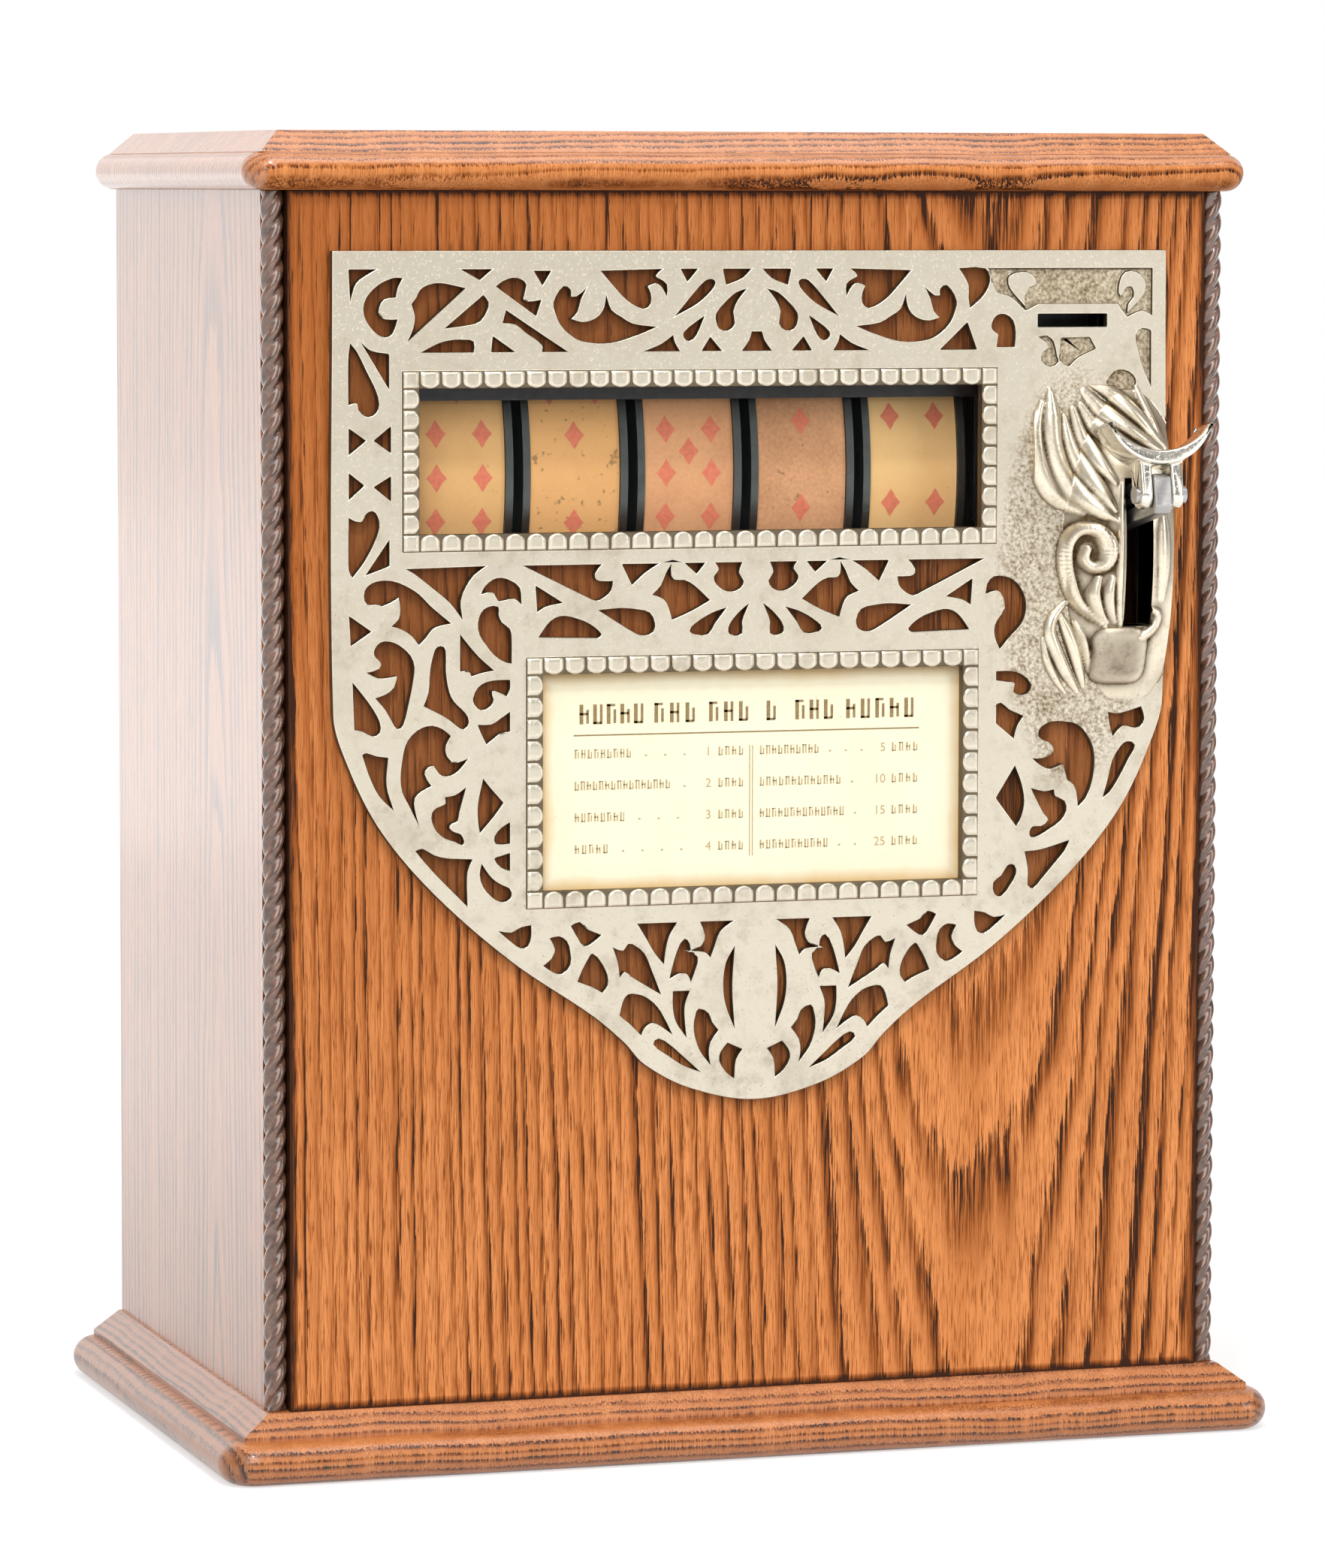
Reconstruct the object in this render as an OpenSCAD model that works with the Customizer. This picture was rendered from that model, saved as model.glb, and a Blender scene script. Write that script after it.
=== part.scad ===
// Countertop trade stimulator: an oak case with a pierced nickel casting on its front, five card
// reels behind a window, a thumb lever, and the mechanism that the lever works.
// The origin is the middle of the base's underside. Inside the modules, lengths are measured from
// the foot of the front panel's face: X to the right, Y to the back, Z up.

/* [Case] */
// Width of the front panel
panel_w = 285; // [280:1:300]
// Height of the front panel and of the case sides
panel_h = 357; // [352:1:372]
// Thickness of the front panel
panel_t = 8; // [6:0.5:10]
// Thickness of each case side
side_t = 12; // [9:0.5:13]
// How far each side's outer face stands past the panel's edge
side_step = 6; // [5:0.5:7]
// Depth from the panel's face to the rear edges of the sides
case_d = 192; // [188:1:215]
// Thickness of the back door
door_t = 10; // [8:0.5:12]
// Gap round the back door
door_gap = 0.5; // [0.3:0.1:1]

/* [Base and top] */
// How far the base's nose stands past the sides
base_out = 16.3; // [12:0.5:20]
// How far the base's nose stands past the panel
base_front = 12; // [8:0.5:16]
// How far the base reaches past the case at the rear
base_rear = 8; // [4:0.5:12]
// Height of the base's rounded nose
base_nose_h = 12.5; // [10:0.5:16]
// Height of the small upright step above the nose
base_step_h = 1.7; // [1:0.1:3]
// Height of the sloped upper member
base_slope_h = 6; // [4:0.5:9]
// Radius of the base's corners, seen from above
base_corner = 11; // [8:0.5:16]
// Setback of the upper member's edge from the nose
base_setback = 7.2; // [5:0.2:9]
// Flat strip between the slope and the case
base_strip = 1; // [0.5:0.1:2]
// How far the top board stands past the sides
top_out = 7; // [5:0.5:10]
// How far the top board stands past the panel and the case's rear
top_front = 6; // [4:0.5:10]
// Height of the top board's rounded nose
top_nose_h = 11; // [8:0.5:14]
// Height of the bevel above the nose
top_bevel_h = 6.3; // [4:0.1:8]
// Radius of the top board's corners, seen from above
top_corner = 9; // [7:0.5:11]
// Setback of the flat top from the nose
top_setback = 11.5; // [9:0.5:14]

/* [Rope mouldings] */
// Radius over the strands
rope_r = 3.4; // [3:0.1:3.9]
// Radius at the hollows between the strands
rope_root_r = 2.4; // [2:0.1:2.8]
// Length of one full turn of a strand
rope_pitch = 20.5; // [16:0.5:30]

/* [Casting] */
// Width of the casting
plate_w = 259; // [258:0.5:264]
// Space between the casting's top edge and the panel's
plate_drop = 17.5; // [14:0.5:18]
// Thickness of the casting
plate_t = 3.2; // [2.5:0.1:4]
// Width of the reel window
window_w = 174; // [170:1:176]
// Height of the reel window
window_h = 42.5; // [40:0.5:43]
// Height of the reel window's lower edge on the casting's drawing
window_z = 257; // [256:0.5:259]
// Width of the award card's window
card_win_w = 131; // [126:1:133]
// Height of the award card's window
card_win_h = 64; // [60:1:65]
// Height of the award card window's lower edge on the casting's drawing
card_win_z = 151.5; // [150:0.5:153]
// Width of the raised border round both windows
border_w = 5; // [4:0.2:5.4]
// How far the border stands out from the casting
border_rise = 0.8; // [0.4:0.1:1.5]
// Depth of the sunk ground in the coin corner
ground_deep = 1.2; // [0.6:0.1:1.8]
// Length of the coin slot
coin_w = 22; // [20:0.5:24]
// Height of the coin slot
coin_h = 3.9; // [3:0.1:4.5]
// How far the lever boss stands out from the casting
boss_rise = 11; // [8:0.5:13]
// Thickness of the award card
card_t = 0.5; // [0.3:0.1:0.8]

/* [Reels] */
// Distance from one reel to the next
reel_pitch = 35.4; // [34.5:0.1:36]
// Gap between neighbouring reels
reel_gap = 3; // [2.6:0.1:3.6]
// Space between the reels' printed faces and the back door
reel_rear = 18; // [17:0.5:28]
// Thickness of the printed strip
strip_t = 0.45; // [0.3:0.05:0.8]
// Width of the metal rim on each side of the strip
rim_w = 2.3; // [1.5:0.1:3]
// How far the rims stand above the printed face
rim_rise = 1; // [0.5:0.1:1.5]
// Thickness of the drum's sheet metal
drum_t = 2; // [1.2:0.1:3]
// Space between the panel's back and the reels
reel_back = 6; // [5:0.5:10]
// Radius of the reel shaft
reel_shaft_r = 5; // [4:0.5:6]
// Number of stops round a reel
reel_stops = 12; // [12:12:12]
// How far the star wheel's edge lies inside the printed face
star_in = 15; // [11:0.5:19]
// Depth of a star wheel's notch
notch_deep = 6; // [5:0.5:8]
// Thickness of the star wheels and the stop pawls
star_t = 1.2; // [1:0.1:1.4]

/* [Lever] */
// Thickness of the lever's blade
blade_t = 5.5; // [4:0.5:6]
// Height of the lever's blade
blade_h = 12; // [10:0.5:13]
// Length of the lever from its pivot to the finger rest's pin
lever_len = 100; // [96:1:106]
// Distance of the lever's pivot behind the panel's face
lever_back = 70; // [66:1:74]
// How far the resting lever slopes up to the front, in degrees
lever_rise = 11.3; // [10:0.1:12]
// Radius of the lever shaft and the kicker shaft
lever_shaft_r = 4; // [3:0.5:5]
// Span of the finger rest
rest_span = 33.5; // [30:0.5:36]
// Depth of the finger rest, front to back
rest_d = 13; // [10:0.5:14]

/* [Mechanism] */
// How far the shelf's upper face lies below the lever's pivot
shelf_down = 87.5; // [86:0.5:97]
// Thickness of the shelf
shelf_t = 10; // [8:0.5:14]
// Thickness of the frame plates
frame_t = 4; // [3:0.5:5]
// Module of the sector gear and the kicker's pinion
drive_module = 1.5; // [1.5:0.5:1.5]
// Height of the cash box
cash_h = 55; // [40:1:65]
// Wall of the cash box
cash_wall = 3; // [2:0.5:5]
// Running clearance of shafts and pins, on the radius
run_gap = 0.05; // [0.03:0.01:0.08]

/* [Hidden] */
$fn = 64;

// Case
half_case = panel_w / 2 + side_step;
half_inner = half_case - side_t;
base_h = base_nose_h + base_step_h + base_slope_h;
base_w = 2 * (half_case + base_out);
base_d = base_front + case_d + base_rear;
top_w = 2 * (half_case + top_out);
top_d = case_d + 2 * top_front;
rope_x = panel_w / 2 + rope_r + 0.1;
rope_y = panel_t - rope_r - 0.4;
door_y = case_d - door_t;

// Casting, measured from its own axis and from the foot of its drawing
plate_x = -0.5;
plate_top = 339.5;
plate_z = panel_h - plate_drop - plate_top;
window_x = -16.5;
card_win_x = -0.5;
coin_x = 99.5;
coin_z = 318.5;
slot_x = 117.5;
slot_w = 8.7;
slot_low = 227;
slot_high = 271.5;
boss_z = 250;
boss_half_w = 21;
boss_half_h = 48;
fret_step = 2.2;
screw_r = 1.1;
screw_head_r = 3;
screw_head_t = 1.6;
screw_bite = 2;
screw_spots = [[-126.5, 337], [126.5, 337], [-73.5, 184], [73.5, 184], [0, 90.8]];
card_margin = 6.5;
cut_room = 3.5;
glass_t = 2.5;
glass_margin = 6;
bead_w = 9;
bead_lip = 3;
shade_lip = 10;

// Reels: the case's depth sets their radius
strip_r = (door_y - panel_t - reel_back - reel_rear) / 2;
star_r = strip_r - star_in;
reel_x = plate_x + window_x + 1;
reel_y = panel_t + reel_back + strip_r;
reel_z = plate_z + window_z + 16.3;
reel_w = reel_pitch - reel_gap;
drum_r = strip_r - strip_t - 0.05;
rim_r = strip_r + rim_rise;
hub_r = 10;
star_gap = 0.7;
star_x = reel_w / 2 + star_gap;
hub_end = star_x + star_t;
collar_r = 8;
collar_gap = 0.2;
frame_gap = 3;
frame_left_x = reel_x - 2 * reel_pitch - reel_w / 2 - frame_gap - frame_t;
frame_right_x = reel_x + 2 * reel_pitch + hub_end + frame_gap;

// Stop pawls: the arm lies along a line that just misses the star wheel
stop_rod_r = 3;
pawl_hub_r = 5.5;
pawl_root = 12;
pawl_len = 0.76 * strip_r;
pawl_clear = 0.8;
pawl_w = 5;
nib_w = 4;
pawl_reach = star_r + pawl_clear;
stop_r = sqrt(pow(pawl_len, 2) + pow(pawl_reach, 2));
stop_at = -24;
stop_y = reel_y + stop_r * cos(stop_at);
stop_z = reel_z + stop_r * sin(stop_at);
notch_at = stop_at - atan(pawl_len / pawl_reach);
stop_step = 360 / reel_stops;

// Lever and drive
lever_x = plate_x + slot_x;
lever_z = plate_z + 247.5;
shelf_z = lever_z - shelf_down;
hub_lever_r = 10;
sector_teeth = 56;
pinion_teeth = 28;
drive_x = 88;
drive_t = 5;
kick_y = lever_back;
kick_z = lever_z - drive_module * (sector_teeth + pinion_teeth) / 2;
timer_module = 0.8;
timer_teeth = 50;
fan_teeth = 16;
timer_t = 4;
timer_x = frame_left_x - 7;
fan_y = kick_y + timer_module * (timer_teeth + fan_teeth) / 2;
fan_r = 2;
fan_span = 19;
fan_w = 8;
fan_x = timer_x - 2 - fan_w;
cock_t = 3;
cock_x = fan_x - 2 - cock_t;
finger_reach = 14;
pin_r = 1.6;
prong_t = 3.8;
prong_gap = 0.2;
prong_w = 8.4;
rest_drop = 8.4;
rest_thick = 4.2;
rest_rise = 9.2;
bracket_reach = 12;
bracket_w = 32;
bracket_h = 56;
bracket_t = 4;
boss_lever_r = 9;
spring_wire_r = 0.8;
spring_turns = 6;
spring_pitch = 2.2;
spring_room = 0.7;

// Coin chute and cash box
chute_wall = 0.8;
chute_in_d = 6;
chute_in_w = coin_w + 2;
chute_top = plate_z + coin_z + 8;
chute_bend = shelf_z - shelf_t - 30;
chute_low = cash_h + 17;
chute_shift = 20;
cash_gap = 6;

// Back door hardware
hinge_pin_r = 1.5;
barrel_r = 3;
leaf_t = 2;
leaf_w = side_t - 4;
hinge_h = 50;
hinge_spots = [60, panel_h - 60];
knuckle_gap = 0.3;
hinge_x = -half_inner - 0.25;
hinge_y = case_d + barrel_r + 0.3;
lock_r = 9;
lock_x = half_inner - 18;
lock_z = shelf_z + 40;
cam_len = 26;
cam_w = 12;
cam_t = 3;
cam_y = door_y - 5;
// The cam's corners sweep a circle, and the mortise holds what of it lies past the side's face
lock_in = half_inner - lock_x;
cam_sweep = norm([cam_len - cam_w / 2, cam_w / 2]);
mortise_low = sqrt(pow(cam_sweep, 2) - pow(lock_in, 2)) + 1;

oak = "#b0662f";
dark_oak = "#2e1a12";
nickel = "#cbc5b4";
iron = "#3a3a3c";
steel = "#8f9296";
brass = "#b08d45";
tin = "#74757a";
paper = "#efe3bf";

// Openings of the scrollwork. Each is a closed curve through its points, and a third value of 1
// makes a point a sharp corner.

// Top band, drawn for the left half and repeated on the right
top_pairs = [
    [[-59.5, 329], [-57.5, 328], [-57.5, 326, 1], [-55.5, 326], [-53, 328, 1], [-54.5, 325],
        [-55.5, 321.5], [-57.5, 319.5, 1], [-54, 318.5], [-51, 319], [-48.5, 320.5], [-47, 323],
        [-46.5, 326, 1], [-45, 322], [-42, 320], [-38.5, 318], [-31.5, 317, 1], [-36.5, 315],
        [-45.5, 312.5], [-53.5, 313], [-57.5, 315], [-60.5, 318], [-62, 321.5], [-62.5, 324.5]],
    [[-48, 333.5, 1], [-29.5, 334, 1], [-31.5, 332], [-30, 331], [-28, 329.5], [-28, 326.5, 1],
        [-29.5, 329], [-31.5, 330], [-34, 329, 1], [-33, 327], [-33, 324], [-35, 322.5], [-40, 325],
        [-44, 329]],
    [[-34.5, 310, 1], [-29.5, 312], [-26, 314.5, 1], [-25.5, 312.5], [-24, 310, 1]],
    [[-23.5, 334, 1], [-18.5, 334, 1], [-21.5, 330.5, 1]],
    [[-25, 320.5, 1], [-19, 327.5], [-16, 330.5], [-14, 331], [-13, 330], [-14.5, 327.5], [-18.5, 324]],
    [[-10.5, 334, 1], [-2, 334, 1], [-4.5, 331.5], [-9.5, 329.5, 1]],
    [[-3.5, 328, 1], [-6.5, 327], [-10, 324], [-12.5, 321], [-12.5, 318.5], [-11.5, 316.5], [-9, 316],
        [-7, 318], [-7.5, 321.5], [-6, 325]],
    [[-16.5, 320, 1], [-19.5, 318], [-22.5, 315.5], [-22.5, 314], [-21, 313], [-19, 314.5]],
    [[-14.5, 314, 1], [-17, 310, 1], [-11, 310, 1]]];
top_middle = [[-4.5, 310, 1], [-2.3, 313], [-1.5, 315.5, 1], [1.5, 315.5, 1], [2.3, 313], [4.5, 310, 1]];

// Top left corner
top_left = [
    [[-124.5, 334, 1], [-116.5, 334, 1], [-120, 332], [-122.5, 330], [-124, 325.5, 1]],
    [[-108.5, 331.5, 1], [-111, 331.5], [-115.5, 329.5], [-119, 326], [-120, 322.5], [-119, 319],
        [-116, 315.5], [-113.5, 314.5], [-111.5, 315.5], [-110, 319.5, 1], [-113.5, 319.5],
        [-115.5, 321], [-115.5, 323], [-114, 325.5], [-110.5, 326, 1], [-110, 328.5]],
    [[-106.5, 313.5, 1], [-105, 317], [-104.5, 320.5], [-105.5, 324, 1], [-104, 326], [-103, 328],
        [-100.5, 329.5], [-97, 330], [-89.5, 328.5, 1]],
    [[-95.5, 317, 1], [-84, 326.5, 1], [-82.5, 324.5], [-83, 322], [-85, 319], [-88, 318]],
    [[-102.5, 310, 1], [-97.5, 312.5], [-93, 313.5], [-89.5, 313.5], [-87, 313], [-87, 310, 1]],
    [[-81, 314.5, 1], [-81.5, 310, 1], [-74.5, 310, 1]],
    [[-90.5, 334, 1], [-81.5, 334, 1], [-85, 331, 1]],
    [[-80, 329, 1], [-78, 330.5], [-75, 331.5], [-72.5, 331], [-71, 329.5], [-72, 325.5],
        [-70.5, 324.5], [-66.5, 325, 1], [-68, 320.5, 1]],
    [[-68.5, 333.5, 1], [-63.5, 333.5, 1], [-66, 329.5, 1]],
    [[-77, 322, 1], [-78, 318.5, 1], [-74, 318], [-71.5, 316], [-66, 312], [-66, 310, 1],
        [-58.5, 310, 1], [-65.5, 314.5]]];

// Left column, beside the reel window
left_column = [
    [[-124, 312.5, 1], [-124.5, 308], [-124.5, 295, 1], [-122, 295.5], [-121.5, 293.5], [-120, 292],
        [-118.5, 291.5], [-116.5, 292.5], [-115.5, 295], [-116.5, 299], [-119.5, 305], [-122, 310]],
    [[-120.5, 312.5, 1], [-118, 310.5], [-112.5, 309.5, 1], [-112.5, 299.5, 1]],
    [[-124.5, 288, 1], [-124.5, 280.5, 1], [-119.5, 284.5, 1]],
    [[-112, 288.5, 1], [-112, 281, 1], [-117, 284.5, 1]],
    [[-124.5, 275, 1], [-124.5, 267.5, 1], [-120, 271.5, 1]],
    [[-112, 274, 1], [-112, 267, 1], [-117, 271, 1]],
    [[-124.5, 262, 1], [-122.5, 261], [-120.5, 261], [-119.5, 263], [-117.5, 264], [-116, 262.5],
        [-115.5, 259.5], [-117, 255], [-120, 249.5], [-123.5, 245, 1], [-124.5, 247]],
    [[-112.5, 255.5, 1], [-112.5, 248, 1], [-119.5, 245.5, 1]]];

// Band between the two windows, drawn for the left half and repeated on the right
middle_pairs = [
    [[-71.5, 247.5, 1], [-48, 247.5, 1], [-50, 245], [-49.5, 243], [-47.5, 242.5], [-44.5, 242.5, 1],
        [-45, 240], [-47, 238], [-49.5, 237], [-52, 238]],
    [[-41.5, 247.5, 1], [-30.5, 247.5, 1], [-34.5, 245], [-38.5, 241.5, 1]],
    [[-26.5, 247, 1], [-26.5, 244], [-25, 242.5], [-22.5, 242.5], [-19.5, 241], [-14.5, 236.5, 1],
        [-20, 233.5], [-26, 231, 1], [-27, 234.5], [-28.5, 237], [-32, 238.5, 1], [-29.5, 241],
        [-28, 244.5]],
    [[-22, 247.5, 1], [-16, 247.5, 1], [-18.5, 244.5, 1]],
    [[-12.5, 247.5, 1], [-4.5, 247.5, 1], [-5.5, 244.5], [-4, 242], [-5, 240], [-7.5, 239],
        [-10, 239.5], [-12.5, 241.5], [-13, 243.5], [-11.5, 245.5]],
    [[-68, 241.5, 1], [-60, 236.5, 1], [-65, 235.5], [-67.5, 234, 1]],
    [[-67, 226.5, 1], [-64.5, 230], [-62, 232], [-59, 232.5], [-55, 231.5], [-51.5, 230],
        [-48, 227], [-49, 226, 1]],
    [[-48.5, 234, 1], [-42, 234.5], [-36.5, 234], [-33, 233], [-31.5, 230], [-32, 227.5],
        [-34.5, 226.5], [-37, 227]],
    [[-9.5, 234, 1], [-14, 232.5], [-19, 229.5], [-20.5, 227.5], [-18.5, 226.5], [-15, 226.5],
        [-13, 229.5]],
    [[-2.5, 235, 1], [-5, 233], [-8, 229.5], [-8.5, 227], [-7, 226], [-4.5, 226.5], [-4.5, 230]]];

// Left side, beside and below the award card
left_side = [
    [[-107, 247, 1], [-83.5, 247.5, 1], [-87, 245], [-89.5, 241.5], [-91, 237.5], [-90.5, 232.5, 1],
        [-94, 237], [-100, 242], [-104.5, 245.5]],
    [[-120, 239.5], [-119, 242], [-116, 243.5], [-111.5, 243.5], [-107.5, 242], [-103.5, 239.5],
        [-100, 236], [-94, 231, 1], [-97, 230.5], [-99.5, 229.5], [-101.5, 227], [-103.5, 225, 1],
        [-105.5, 227.5], [-108.5, 229.5], [-111.5, 230.5, 1], [-109.5, 232.5], [-109, 235.5],
        [-109.5, 239, 1], [-112, 237.5], [-114.5, 236.5, 1], [-116.5, 237], [-119, 237]],
    [[-124.5, 233.5, 1], [-118, 229, 1], [-124, 225, 1]],
    [[-117, 223], [-116, 225], [-114, 226], [-111, 225.5], [-108.5, 224], [-106, 221.5], [-105, 218.5],
        [-105.5, 214], [-106.5, 209], [-108.5, 201.5], [-110, 200.5], [-111.5, 202.5], [-113.5, 206],
        [-116.5, 209.5, 1], [-113.5, 210.5], [-111, 212.5], [-110, 216, 1], [-113, 215.5],
        [-116, 215.5], [-119, 217, 1], [-115.5, 218], [-115, 220], [-116.5, 221.5]],
    [[-98, 224], [-96, 224], [-95.5, 222], [-95.5, 217], [-94.5, 211], [-93, 208], [-89.5, 204.5],
        [-88.5, 202], [-90, 200], [-92, 201], [-94.5, 203], [-98, 205], [-102, 207, 1], [-100.5, 211],
        [-100, 217.5], [-99, 222]],
    [[-91, 227.5, 1], [-91, 217, 1], [-88.5, 217], [-87.5, 215.5, 1], [-84, 216.5], [-81, 217, 1],
        [-85.5, 221], [-89, 225]],
    [[-84.5, 239.5, 1], [-83.5, 241.5], [-81, 243.5], [-78.5, 244], [-75.5, 243], [-73, 241],
        [-72.5, 236.5, 1], [-74.5, 238], [-78, 237.5], [-79.5, 237.5], [-80.5, 239.5], [-82.5, 240]],
    [[-85.5, 231], [-84.5, 234], [-82.5, 235.5], [-79.5, 235.5], [-79.5, 233.5], [-78.5, 231],
        [-76, 229], [-75.5, 226.5], [-75.5, 219, 1], [-77.5, 219.5], [-80.5, 221.5], [-83, 224.5],
        [-85, 227.5]],
    [[-87, 209], [-85.5, 212], [-83, 213.5], [-79.5, 214], [-76, 214, 1], [-76, 211.5], [-77, 209.5, 1],
        [-79, 210.5], [-81.5, 211], [-81, 208.5], [-82, 206.5], [-84.5, 205.5], [-86.5, 207]],
    [[-85.5, 201, 1], [-81.5, 201], [-79, 202.5], [-76, 204.5, 1], [-76, 199, 1], [-79, 198.5],
        [-81, 197], [-83, 195.5, 1], [-84.5, 198.5]],
    [[-123.5, 214, 1], [-123, 200.5, 1], [-120.5, 200], [-117.5, 198.5], [-115.5, 199.5],
        [-115.5, 202.5], [-118, 207], [-121, 211]],
    [[-120.5, 193, 1], [-119.5, 193.5], [-116.5, 192.5], [-113, 192, 1], [-113.5, 184],
        [-111.5, 177, 1], [-115.5, 181], [-118.5, 187]],
    [[-104, 173, 1], [-106.5, 178], [-108.5, 182], [-109, 186], [-108.5, 191], [-107.5, 195.5],
        [-105.5, 198.5], [-102.5, 200.5], [-99.5, 201], [-96.5, 200], [-94, 198, 1], [-95.5, 195.5],
        [-95.5, 193], [-94, 190.5], [-92, 190], [-89, 191, 1], [-91.5, 188], [-94, 186.5],
        [-96.5, 186.5], [-98, 188], [-99, 189.5, 1], [-101, 189], [-102, 187], [-100, 183.5, 1],
        [-103, 182], [-105, 180], [-105, 177]],
    [[-89.5, 182.5, 1], [-92.5, 180.5], [-95.5, 180, 1], [-95.5, 178], [-98, 177], [-99.5, 175.5],
        [-99.5, 173], [-98, 170], [-95.5, 168], [-92.5, 167], [-90.5, 166], [-90, 167], [-91, 169],
        [-92.5, 169.5], [-94.5, 171], [-93.5, 172.5], [-92, 173], [-91.5, 175.5]],
    [[-84, 185, 1], [-82, 182.5], [-78, 178, 1], [-81, 174], [-85, 169.5, 1], [-85.5, 173], [-85.5, 178]],
    [[-76, 172, 1], [-76, 166, 1], [-80, 166], [-80.5, 168], [-78.5, 170.5]],
    [[-76, 163, 1], [-76, 158, 1], [-78.5, 159], [-80.5, 161.5], [-79.5, 162]],
    [[-104.5, 164.5, 1], [-102.5, 165], [-99, 163], [-95, 162], [-87.5, 161.5, 1], [-89, 158],
        [-89, 148, 1], [-92.5, 151.5], [-98, 157], [-102.5, 162]],
    [[-84.5, 160, 1], [-82.5, 157], [-80.5, 155], [-78, 153.5], [-76, 152.5], [-75.5, 150.5],
        [-77, 149], [-79, 149], [-81.5, 150.5], [-84, 153.5], [-85, 157]]];

// Right side, round the coin corner and the lever boss
right_side = [
    [[57.5, 310, 1], [66, 318, 1], [67.5, 314], [69, 310, 1]],
    [[63.5, 334, 1], [71.5, 334], [73, 331.5], [72.5, 328.5], [70.5, 325.5], [67, 322.5, 1],
        [66.5, 325.5], [66.5, 329], [65, 332]],
    [[75.5, 310.7, 1], [76, 314.5, 1], [74, 316], [74, 318], [75.5, 320], [78, 320.3], [80.5, 318.5],
        [81.3, 315], [81, 310.7, 1]],
    [[72.5, 237, 1], [73, 240], [75, 242], [78, 242], [81, 241], [83.5, 238.5], [85, 235], [85, 231],
        [83.5, 227.5], [80.5, 224.5], [77, 220.5, 1], [75.5, 224], [75.5, 227.5], [77, 230],
        [78.5, 232], [78.5, 234.5], [77.5, 237], [75.5, 238]],
    [[76, 213.5, 1], [80.5, 213.5], [84, 212.5], [87, 209.5], [86, 207], [83.5, 206.5], [81.5, 207.5],
        [82, 210], [79.5, 210.5], [76, 211, 1]],
    [[76, 203.5, 1], [77.5, 204], [80, 202], [84.5, 200, 1], [82.5, 197], [81.5, 193.5, 1], [76, 198, 1]],
    [[102.5, 172.5, 1], [104.5, 174.5], [106.5, 179], [107.5, 185], [107, 190], [105, 194], [102, 197],
        [97.5, 198], [93.5, 198], [90.5, 196.5], [89.5, 194.5], [90.5, 193], [93, 192], [94.5, 190],
        [93.5, 188], [90.5, 187], [88, 187, 1], [90.5, 185], [93.5, 184], [97.5, 185.5, 1],
        [99, 180.5, 1], [101, 179], [102, 176.5]],
    [[112, 200.5, 1], [114.5, 200], [117.5, 200.5], [122.5, 202, 1], [123.5, 198.5], [122, 196],
        [119.5, 196], [116.5, 196.5], [113.5, 193.5, 1], [112.5, 197]],
    [[110.5, 175, 1], [112.5, 176.5], [115.5, 181], [118.5, 186.5], [120.5, 190.5], [118, 191.5],
        [116, 190], [113.5, 186], [112, 180]],
    [[82, 185, 1], [84, 180], [85, 174.5], [84, 169.5], [82.5, 167, 1], [76, 175.5, 1]],
    [[87.5, 178, 1], [91.5, 177], [94.5, 177.5, 1], [95, 175.5], [98, 174], [98.5, 171], [96.5, 168],
        [93.5, 166], [90, 164], [87.5, 163.5], [87, 165], [88, 166.5], [90.5, 166.5], [93, 168.5],
        [91.5, 170.5], [89, 175]],
    [[85.5, 159, 1], [90.5, 159.5], [99.5, 162, 1], [98, 159], [94.5, 155], [90.5, 150.5], [88, 148],
        [86.5, 149, 1], [86.5, 154]],
    [[76, 146.5], [75.5, 150], [78, 152], [80, 155], [82, 155], [82.5, 152.5], [80.5, 149], [78, 146]]];

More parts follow.
